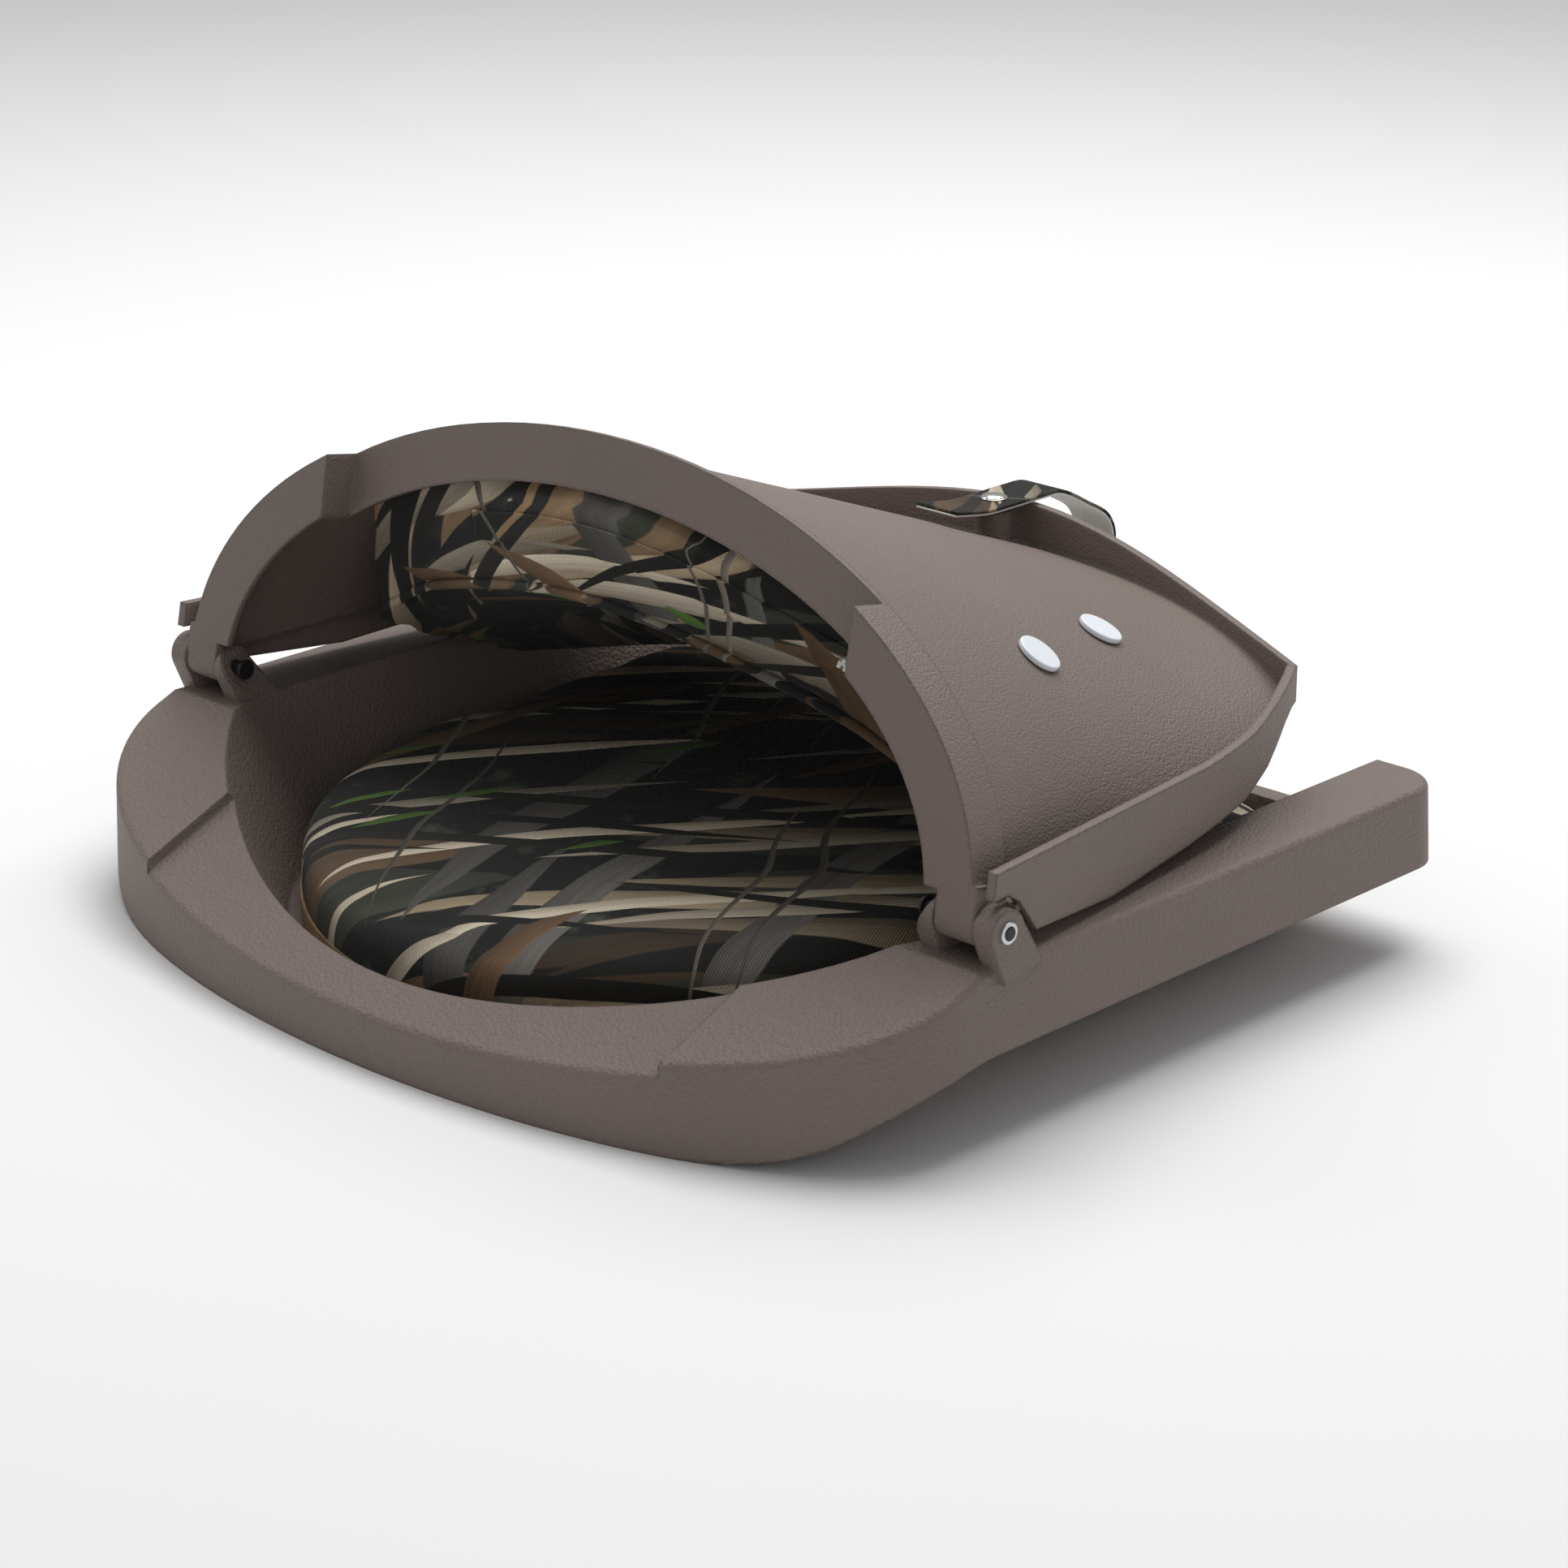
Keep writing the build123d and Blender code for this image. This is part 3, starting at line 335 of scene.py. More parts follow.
# Layers of the print, from the ground up: angle in degrees, length and width as shares of the
# largest blade, bend, share of cells kept, dark tone, light tone.
PRINT_LAYERS = (
    (-38, 0.80, 2.00, 0.030, 0.50, (0.010, 0.012, 0.008), (0.100, 0.102, 0.068)),
    (-50, 1.00, 1.50, 0.035, 0.36, (0.020, 0.013, 0.007), (0.190, 0.115, 0.056)),
    (-34, 1.20, 1.10, 0.025, 0.34, (0.060, 0.036, 0.018), (0.480, 0.310, 0.160)),
    (-46, 1.30, 0.90, 0.020, 0.30, (0.002, 0.002, 0.002), (0.014, 0.012, 0.008)),
    (-41, 1.30, 0.70, 0.018, 0.34, (0.100, 0.066, 0.036), (0.900, 0.720, 0.470)),
    (-104, 1.60, 0.90, 0.030, 0.12, (0.026, 0.024, 0.021), (0.210, 0.195, 0.170)),
    (-53, 1.10, 0.42, 0.018, 0.30, (0.180, 0.125, 0.070), (1.000, 0.900, 0.700)),
    (-31, 1.40, 0.40, 0.018, 0.30, (0.003, 0.003, 0.003), (0.018, 0.015, 0.010)),
    (-84, 0.70, 0.60, 0.035, 0.10, (0.040, 0.022, 0.011), (0.330, 0.190, 0.090)),
    (-118, 1.10, 0.13, 0.060, 0.05, (0.050, 0.040, 0.030), (0.330, 0.290, 0.230)),
    (-62, 0.20, 0.24, 0.010, 0.012, (0.030, 0.070, 0.010), (0.150, 0.300, 0.040)),
)


def reed_cloth(name, groups, scale=1.0, angle=0.0):
    """Printed twill: a dark ground with olive patches under layers of blades, with ribs, and painted shade in
    the rib grooves with painted light on the rib crests.
    """
    cloth = settings().cloth
    material, tree, shader = new_material(name)
    uv = place(tree, "ShaderNodeUVMap", uv_map="cloth").outputs[0]
    patches = place(tree, "ShaderNodeTexNoise", {"Vector": uv, "Scale": 26.0 / scale, "Detail": 6.0,
                                                 "Roughness": 0.65})
    patch_mask = maths(tree, "MULTIPLY_ADD", patches.outputs["Fac"], 9.0, -5.0, clamp=True)
    color = blend_colors(tree, patch_mask, (0.004, 0.004, 0.0035), (0.060, 0.066, 0.044))
    for number, (turn, length, width, bend, share, dark, light) in enumerate(PRINT_LAYERS):
        layer = use_group(tree, groups["reed"], {
            "Vector": uv, "Angle": math.radians(turn + angle), "Length": cloth.blade_length * length * scale,
            "Width": cloth.blade_width * width * scale, "Bend": bend * scale, "Share": share,
            "Seed": 1.7 + 2.3 * number})
        ramp = blend_colors(tree, layer.outputs["Shade"], dark, light)
        dimmed = maths(tree, "MULTIPLY_ADD", layer.outputs["Pick"], 0.75, 0.35)
        grey = place(tree, "ShaderNodeCombineColor", {0: dimmed, 1: dimmed, 2: dimmed}).outputs[0]
        ramp = blend_colors(tree, 1.0, ramp, grey, "MULTIPLY")
        color = blend_colors(tree, layer.outputs["Mask"], color, ramp)
    weave = use_group(tree, groups["twill"], {"Vector": uv, "Pitch": cloth.rib})
    # Painted shade and light: the colour is darkened in the twill grooves and lightened on the rib crests,
    # following the ribs' height.
    painted_rib_shade = maths(tree, "MULTIPLY_ADD", weave.outputs["Height"], 0.45, 0.62)
    tone = place(tree, "ShaderNodeCombineColor", {0: painted_rib_shade, 1: painted_rib_shade, 2: painted_rib_shade}).outputs[0]
    color = blend_colors(tree, 1.0, color, tone, "MULTIPLY")
    tree.links.new(color, shader.inputs["Base Color"])
    shader.inputs["Roughness"].default_value = 0.82
    shader.inputs["Specular IOR Level"].default_value = 0.3
    shader.inputs["Sheen Weight"].default_value = 0.08
    tree.links.new(bump(tree, weave.outputs["Height"], cloth.rib_depth, 0.8), shader.inputs["Normal"])
    return material


def moulded_plastic(name, groups, grain_share):
    """Grained plastic of a shell."""
    shell = settings().shell
    material, tree, shader = new_material(name)
    spot = place(tree, "ShaderNodeTexCoord").outputs["Object"]
    grain = use_group(tree, groups["grain"], {"Vector": spot, "Size": shell.grain * grain_share})
    base = tuple(shell.color)
    darker = tuple(0.90 * c for c in base)
    lighter = tuple(1.10 * c for c in base)
    tone = maths(tree, "MULTIPLY_ADD", grain.outputs["Tone"], 1.6, -0.3, clamp=True)
    tree.links.new(blend_colors(tree, tone, darker, lighter), shader.inputs["Base Color"])
    rough = maths(tree, "MULTIPLY_ADD", grain.outputs["Tone"], 0.14, shell.roughness - 0.07)
    tree.links.new(rough, shader.inputs["Roughness"])
    shader.inputs["Specular IOR Level"].default_value = 0.42
    soft_edge = place(tree, "ShaderNodeBevel", {"Radius": 0.0028}, samples=6)
    depth = shell.grain_depth * grain_share
    tree.links.new(bump(tree, grain.outputs["Height"], depth, 1.0, soft_edge.outputs[0]),
                   shader.inputs["Normal"])
    return material


def plain_finish(name, color, metallic=0.0, roughness=0.4, scratch=0.12, mottling=0.08, scale=900.0):
    """A small part's finish: tone and roughness broken up by noise, with a light bump."""
    material, tree, shader = new_material(name)
    spot = place(tree, "ShaderNodeTexCoord").outputs["Object"]
    noise = place(tree, "ShaderNodeTexNoise", {"Vector": spot, "Scale": scale, "Detail": 4.0})
    dark = tuple(c * (1 - 2 * mottling) for c in color)
    light = tuple(min(1.0, c * (1 + mottling)) for c in color)
    tree.links.new(blend_colors(tree, noise.outputs["Fac"], dark, light), shader.inputs["Base Color"])
    rough = maths(tree, "MULTIPLY_ADD", noise.outputs["Fac"], scratch, roughness - scratch / 2)
    tree.links.new(rough, shader.inputs["Roughness"])
    shader.inputs["Metallic"].default_value = metallic
    tree.links.new(bump(tree, noise.outputs["Fac"], 0.00008, 0.5), shader.inputs["Normal"])
    return material


def shared_groups():
    """The node groups, made once."""
    made = {}
    for key, name, build in (("grain", "Pebble grain", pebble_grain), ("reed", "Reed layer", reed_layer),
                             ("twill", "Twill weave", twill_weave)):
        made[key] = bpy.data.node_groups.get(name) or build()
    return made


# ---------------------------------------------------------------- mesh helpers
def dress(obj, material):
    """Gives an object one material."""
    obj.data.materials.clear()
    obj.data.materials.append(material)


def new_piece(name, corners, faces, smooth=True):
    """A mesh object from arrays of corners and faces."""
    mesh = bpy.data.meshes.new(name)
    mesh.from_pydata(np.asarray(corners, float).tolist(), [], [tuple(face) for face in faces])
    mesh.validate()
    if smooth:
        mesh.polygons.foreach_set("use_smooth", np.ones(len(mesh.polygons), bool))
    mesh.update()
    obj = bpy.data.objects.new(name, mesh)
    bpy.context.scene.collection.objects.link(obj)
    return obj


def get_places(mesh):
    """Vertex places as an array."""
    flat = np.empty(len(mesh.vertices) * 3)
    mesh.vertices.foreach_get("co", flat)
    return flat.reshape(-1, 3)


def set_places(mesh, places):
    """Writes vertex places back."""
    mesh.vertices.foreach_set("co", places.astype(float).ravel())
    mesh.update()


def write_uv(mesh, per_vertex):
    """Stores a plane place for each vertex as the UV map called cloth."""
    corners = np.empty(len(mesh.loops), np.int64)
    mesh.loops.foreach_get("vertex_index", corners)
    layer = mesh.uv_layers.new(name="cloth")
    layer.data.foreach_set("uv", per_vertex[corners].astype(float).ravel())


def skin_copy(node, name):
    """Merged copy of a CAD solid, of which only the largest of its separate skins is kept."""
    obj = bpy.data.objects.new(name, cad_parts[node].data.copy())
    bpy.context.scene.collection.objects.link(obj)
    form = bmesh.new()
    form.from_mesh(obj.data)
    bmesh.ops.remove_doubles(form, verts=form.verts, dist=2e-6)
    form.to_mesh(obj.data)
    form.free()
    bpy.ops.object.select_all(action="DESELECT")
    obj.select_set(True)
    bpy.context.view_layer.objects.active = obj
    bpy.ops.object.mode_set(mode="EDIT")
    bpy.ops.mesh.select_all(action="SELECT")
    bpy.ops.mesh.separate(type="LOOSE")
    bpy.ops.object.mode_set(mode="OBJECT")
    parts = sorted(bpy.context.selected_objects, key=lambda part: part.dimensions.length)
    for part in parts[:-1]:
        bpy.data.objects.remove(part)
    parts[-1].name = name
    return parts[-1]


def apply_modifiers(obj):
    """Replaces the object's mesh with its evaluated mesh, and removes its modifiers."""
    graph = bpy.context.evaluated_depsgraph_get()
    graph.update()
    mesh = bpy.data.meshes.new_from_object(obj.evaluated_get(graph))
    old = obj.data
    obj.modifiers.clear()
    obj.data = mesh
    bpy.data.meshes.remove(old)


def cells(obj, size):
    """Even quads all over the object, by voxel remeshing."""
    remesh = obj.modifiers.new("cells", "REMESH")
    remesh.mode = "VOXEL"
    remesh.voxel_size = size
    remesh.use_smooth_shade = True
    apply_modifiers(obj)


def relax(mesh, rounds, hold=0.5):
    """Smooths places: each vertex moves a share of the way to the mean of its neighbours."""
    count = len(mesh.vertices)
    pairs = np.empty(len(mesh.edges) * 2, np.int64)
    mesh.edges.foreach_get("vertices", pairs)
    pairs = pairs.reshape(-1, 2)
    spots = get_places(mesh)
    degree = np.bincount(pairs.ravel(), minlength=count)[:, None].clip(1)
    for _ in range(rounds):
        total = np.zeros_like(spots)
        np.add.at(total, pairs[:, 0], spots[pairs[:, 1]])
        np.add.at(total, pairs[:, 1], spots[pairs[:, 0]])
        spots += (total / degree - spots) * (1 - hold)
    set_places(mesh, spots)


def stuff(obj, room):
    """Puffs a cushion by cloth pressure. room(places) gives the least and most that each may move."""
    stuffing = settings().stuffing
    before = get_places(obj.data).copy()
    cloth = obj.modifiers.new("stuffing", "CLOTH")
    cloth.settings.use_pressure = True
    cloth.settings.uniform_pressure_force = stuffing.pressure
    cloth.settings.effector_weights.gravity = 0.0
    cloth.settings.quality = 5
    cloth.settings.tension_stiffness = 12
    cloth.settings.compression_stiffness = 12
    cloth.settings.bending_stiffness = 0.6
    cloth.point_cache.frame_end = stuffing.frames
    scene = bpy.context.scene
    for number in range(1, stuffing.frames + 1):
        scene.frame_set(number)
    graph = bpy.context.evaluated_depsgraph_get()
    after_mesh = obj.evaluated_get(graph).to_mesh()
    after = get_places(after_mesh).copy()
    obj.evaluated_get(graph).to_mesh_clear()
    obj.modifiers.clear()
    scene.frame_set(1)
    move = after - before
    reach = np.linalg.norm(move, axis=1, keepdims=True)
    move *= np.minimum(1.0, stuffing.swell / np.maximum(reach, 1e-9))
    low, high = room(before)
    move = np.clip(move, low, high)
    set_places(obj.data, before + move)


def subdivided(obj):
    """Adds one level of subdivision."""
    finish = obj.modifiers.new("soft", "SUBSURF")
    finish.levels = 1
    finish.render_levels = 1
    return obj


# ---------------------------------------------------------------- swept and turned surfaces
def resample(points, count, closed=False):
    """Even points along a line of points, by length."""
    points = np.asarray(points, float)
    if closed:
        points = np.vstack([points, points[:1]])
    gaps = np.linalg.norm(np.diff(points, axis=0), axis=1)
    run = np.concatenate([[0], np.cumsum(gaps)])
    wanted = np.linspace(0, run[-1], count + 1 if closed else count)
    even = np.stack([np.interp(wanted, run, points[:, axis]) for axis in range(points.shape[1])], axis=1)
    return even[:-1] if closed else even


def smooth_line(points, count):
    """Catmull-Rom curve through the points, then evened out by length."""
    points = np.asarray(points, float)
    padded = np.vstack([2 * points[0] - points[1], points, 2 * points[-1] - points[-2]])
    t = np.linspace(0, 1, 24, endpoint=False)[:, None]
    pieces = []
    for start in range(len(points) - 1):
        a, b, c, d = padded[start:start + 4]
        pieces.append(0.5 * (2 * b + (c - a) * t + (2 * a - 5 * b + 4 * c - d) * t ** 2
                             + (3 * b - a - 3 * c + d) * t ** 3))
    pieces.append(points[-1:])
    return resample(np.vstack(pieces), count)


def grid_faces(rings, around):
    """Quads of a tube of rings, and one face to close each end."""
    ring, spot = np.meshgrid(np.arange(rings - 1), np.arange(around), indexing="ij")
    here = ring * around + spot
    beside = ring * around + (spot + 1) % around
    faces = np.stack([here, beside, beside + around, here + around], axis=-1).reshape(-1, 4).tolist()
    faces.append(list(range(around))[::-1])
    faces.append(list(range((rings - 1) * around, rings * around)))
    return faces


def outward(obj):
    """Turns the faces of a closed mesh outwards."""
    form = bmesh.new()
    form.from_mesh(obj.data)
    bmesh.ops.remove_doubles(form, verts=form.verts, dist=1e-7)
    bmesh.ops.recalc_face_normals(form, faces=form.faces)
    form.to_mesh(obj.data)
    form.free()
    return obj


def sweep(name, line, side, up, section):
    """A section carried along a line: each ring is line + side * section_x + up * section_y."""
    section = np.asarray(section, float)
    rings = (line[:, None, :] + side[:, None, :] * section[None, :, 0, None]
             + up[:, None, :] * section[None, :, 1, None])
    obj = new_piece(name, rings.reshape(-1, 3), grid_faces(len(line), len(section)))
    return outward(obj)


def rounded_bar(width, low, high, radius, steps=4, across=9):
    """Section of a flat bar with rounded edges, as (x, y) points."""
    turn = np.linspace(0, math.pi / 2, steps)
    flat = np.linspace(-width / 2 + radius, width / 2 - radius, across)
    top = np.stack([flat[::-1], np.full(across, high)], axis=1)
    bottom = np.stack([flat, np.full(across, low)], axis=1)
    side = width / 2 - radius
    sine, cosine = radius * np.sin(turn), radius * np.cos(turn)
    left_top = np.stack([-side - sine, high - radius + cosine], axis=1)
    left_low = np.stack([-side - cosine, low + radius - sine], axis=1)
    right_low = np.stack([side + sine, low + radius - cosine], axis=1)
    right_top = np.stack([side + cosine, high - radius + sine], axis=1)
    return np.vstack([top, left_top[1:-1], left_low[:-1], bottom, right_low[1:-1], right_top[:-1]])


def turned(name, profile, centre, axis, around=48):
    """A profile of (radius, height) turned about an axis through the centre."""
    profile = np.asarray(profile, float)
    axis = np.asarray(axis, float) / np.linalg.norm(axis)
    first = np.cross(axis, (0.0, 1.0, 0.0) if abs(axis[1]) < 0.9 else (1.0, 0.0, 0.0))
    first /= np.linalg.norm(first)
    second = np.cross(axis, first)
    angle = np.linspace(0, 2 * math.pi, around, endpoint=False)
    spread = profile[:, None, 0, None]
    ring = spread * (np.cos(angle)[None, :, None] * first + np.sin(angle)[None, :, None] * second)
    spots = np.asarray(centre, float) + ring + profile[:, None, 1, None] * axis
    return outward(new_piece(name, spots.reshape(-1, 3), grid_faces(len(profile), around)))


# ---------------------------------------------------------------- soft pieces, in metres in the frame
SEAT_HALF = 0.187            # half width of the seat cushion
SEAT_FRONT = 0.176           # its front edge, forward of the origin
SEAT_REAR = 0.194            # its rear edge, behind the origin
SEAT_CORNER = 0.030          # plan radius of its front corners
SEAT_LOW = 0.0124            # its flat base
SEAT_TOP = 0.0475            # its rim before stuffing
SEAT_CROWN = 0.0045          # how much higher the middle of the seat cushion is than its rim
SEAT_ROUND = 0.012           # rounding of its upper edge
SEAT_SEAM = 0.003            # height of its side's lower end above its base

STRAP_WIDTH = 0.025
# Middle of the strap's thickness, from the loose tab over the rim and down to its sewn end.
STRAP_LINE = (
    (0, -0.1362, 0.1577), (0, -0.148, 0.1556), (0, -0.158, 0.1541),
    (0, -0.168, 0.15365), (0, -0.183, 0.15365), (0, -0.197, 0.15365),
    (0, -0.211, 0.15265), (0, -0.229, 0.14365), (0, -0.245, 0.13365),
    (0, -0.249, 0.11965), (0, -0.235, 0.10565), (0, -0.203, 0.10365), (0, -0.1816, 0.10565),
)


def seat_outline(count):
    """Outline of the seat cushion: a half ellipse behind, straight sides, rounded front corners."""
    turn = np.linspace(0, math.pi, 90)
    rear = np.stack([SEAT_HALF * np.cos(turn), SEAT_REAR * np.sin(turn)], axis=1)
    corner = np.linspace(0, math.pi / 2, 16)
    left = np.stack([-SEAT_HALF + SEAT_CORNER - SEAT_CORNER * np.cos(corner),
                     -SEAT_FRONT + SEAT_CORNER - SEAT_CORNER * np.sin(corner)], axis=1)
    right = np.stack([SEAT_HALF - SEAT_CORNER + SEAT_CORNER * np.sin(corner),
                      -SEAT_FRONT + SEAT_CORNER - SEAT_CORNER * np.cos(corner)], axis=1)
    return resample(np.vstack([rear, left, right]), count, closed=True)


def seat_pad():
    """Seat cushion before stuffing.

    Rings of the outline: shrunk towards the middle across the crowned top, round the upper edge,
    down a side that stands out a little at half height, and back in along the flat base.
    """
    outline = seat_outline(220)
    reach = np.linalg.norm(outline, axis=1, keepdims=True)
    shares = np.linspace(0.02, 0.94, 22)
    top = [(None, share, SEAT_TOP + SEAT_CROWN * (1 - share ** 2.6)) for share in shares]
    turn = np.linspace(0.15, math.pi / 2, 7)
    edge = [(SEAT_ROUND * (1 - math.sin(a)), None, SEAT_TOP - SEAT_ROUND * (1 - math.cos(a))) for a in turn]
    shoulder = SEAT_TOP - SEAT_ROUND
    fall = SEAT_LOW + SEAT_SEAM - shoulder
    drop = np.linspace(0, 1, 7)[1:]
    side = [(-0.0006 * math.sin(math.pi * d), None, shoulder + fall * d) for d in drop]
    low = [(0.0015, None, SEAT_LOW + 0.0008), (0.004, None, SEAT_LOW)]
    base = [(None, share, SEAT_LOW) for share in np.linspace(0.94, 0.02, 18)]
    rings = []
    for inset, share, height in top + edge + side + low + base:
        factor = share if inset is None else 1 - (inset + 0.001) / reach
        flat = outline * factor
        rings.append(np.column_stack([flat, np.full(len(flat), height)]))
    spots = np.vstack(rings)
    return outward(new_piece("seat_cushion", spots, grid_faces(len(rings), len(outline))))


def surface_under(tree, x, y):
    """Height of the first surface met going up at (x, y)."""
    hit = tree.ray_cast(Vector((x, y, -0.5)), Vector((0, 0, 1)))[0]
    if hit is None:
        raise RuntimeError(f"no cushion above {x:.3f}, {y:.3f}")
    return hit.z


def surface_behind(tree, x, z):
    """Rearmost surface met going forward at (x, z)."""
    hit = tree.ray_cast(Vector((x, 0.5, z)), Vector((0, -1, 0)))[0]
    if hit is None:
        raise RuntimeError(f"no cushion in front of {x:.3f}, {z:.3f}")
    return hit.y


def rear_arc(x):
    """Rear edge of the back cushion in plan: circle through (-0.178, 0.05), (0, 0.08), (0.178, 0.05)."""
    rise, half = 0.030, 0.178
    radius = (half ** 2 + rise ** 2) / (2 * rise)
    return 0.080 - radius + np.sqrt(radius ** 2 - np.asarray(x, float) ** 2)


def back_cloth_place(spots):
    """Cloth place on the back cushion: along is the angle round an ellipse times its size, across is
    the depth from front to rear plus the height of the rear face above the underside."""
    wide, tall, low = 0.20, 0.13, 0.080
    angle = np.arctan2(spots[:, 0] / wide, np.maximum(spots[:, 2] - low, -0.02) / tall)
    share = np.sqrt((spots[:, 0] / wide) ** 2 + ((spots[:, 2] - low) / tall) ** 2)
    return np.stack([angle * 0.17, spots[:, 1] + 0.16 * share], axis=1)


# ---------------------------------------------------------------- operators
def material_for(name, build, *given):
    """The material of that name, built the first time it is asked for."""
    return bpy.data.materials.get(name) or build(name, *given)


def seat_cloth():
    """Cloth of the seat cushion and the strap."""
    return material_for("reed twill", reed_cloth, shared_groups(), 1.0, 0.0)


def back_cloth():
    """Cloth of the back cushion, with its blades more upright."""
    return material_for("reed twill upright", reed_cloth, shared_groups(), 0.9, 62.0)


class BOATSEAT_OT_shells(bpy.types.Operator):
    """Gives the two moulded shells their grained plastic"""

    bl_idname = "boat_seat.shells"
    bl_label = "Finish the shells"

    def execute(self, context):
        groups = shared_groups()
        for node, name, grain_share in (("seat_shell", "moulded seat plastic", 1.25),
                                        ("back_shell", "moulded back plastic", 0.9)):
            dress(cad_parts[node], material_for(name, moulded_plastic, groups, grain_share))
        return {"FINISHED"}


class BOATSEAT_OT_hardware(bpy.types.Operator):
    """Gives pins, screws, inserts, boards and foam their finishes, and gives the cushion fasteners white
    nylon
    """

    bl_idname = "boat_seat.hardware"
    bl_label = "Finish the hardware"

    def execute(self, context):
        zinc = plain_finish("zinc plated steel", (0.62, 0.63, 0.66), 1.0, 0.34)
        finishes = {
            plain_finish("blackened pin", (0.030, 0.030, 0.032), 0.6, 0.42): (
                "hinge_pin_left", "hinge_pin_right"),
            zinc: ("pin_retainer_left", "pin_retainer_right", "seat_cushion_screws", "snap_stud_screw"),
            plain_finish("brass insert", (0.72, 0.52, 0.22), 1.0, 0.36): ("mount_inserts",),
            plain_finish("snap metal", (0.80, 0.79, 0.76), 1.0, 0.22): ("snap_socket", "snap_stud"),
            plain_finish("board", (0.42, 0.28, 0.16), 0.0, 0.8, 0.2, 0.25, 160.0): (
                "seat_board", "back_board"),
            plain_finish("foam", (0.72, 0.66, 0.46), 0.0, 0.9, 0.1, 0.12, 1400.0): ("seat_foam", "back_foam"),
        }
        for material, names in finishes.items():
            for name in names:
                dress(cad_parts[name], material)
        nylon = plain_finish("white nylon", (0.78, 0.82, 0.87), 0.0, 0.42, 0.1, 0.03, 400.0)
        dress(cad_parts["back_fasteners"], nylon)
        return {"FINISHED"}


class BOATSEAT_OT_seat_cushion(bpy.types.Operator):
    """Makes the stuffed seat cushion in its printed twill cover"""

    bl_idname = "boat_seat.seat_cushion"
    bl_label = "Seat cushion"

    def execute(self, context):
        cushion = seat_pad()
        cells(cushion, settings().stuffing.voxel)
        relax(cushion.data, 2)

        def room(spots):
            base = spots[:, 2] < SEAT_LOW + 0.004
            low = np.tile((-0.0018, -0.0018, -0.001), (len(spots), 1))
            high = np.tile((0.0018, 0.0018, 0.0065), (len(spots), 1))
            low[base, 2] = high[base, 2] = 0.0
            rear = np.clip((spots[:, 1] - 0.12) / 0.06, 0, 1)
            high[:, 2] = np.minimum(high[:, 2], 0.0065 * (1 - 0.6 * rear))
            return low, high

        stuff(cushion, room)
        relax(cushion.data, 2)
        spots = get_places(cushion.data)
        spots[:, 2] = np.maximum(spots[:, 2], SEAT_LOW)
        set_places(cushion.data, spots)
        flat = spots[:, :2]
        reach = np.maximum(np.linalg.norm(flat, axis=1, keepdims=True), 1e-6)
        drop = np.clip(SEAT_TOP - spots[:, 2:3], 0, None)
        write_uv(cushion.data, flat * (1 + drop / reach))
        dress(cushion, seat_cloth())
        subdivided(cushion)
        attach(cushion, "seat")
        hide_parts("seat_cover", "seat_foam")
        return {"FINISHED"}


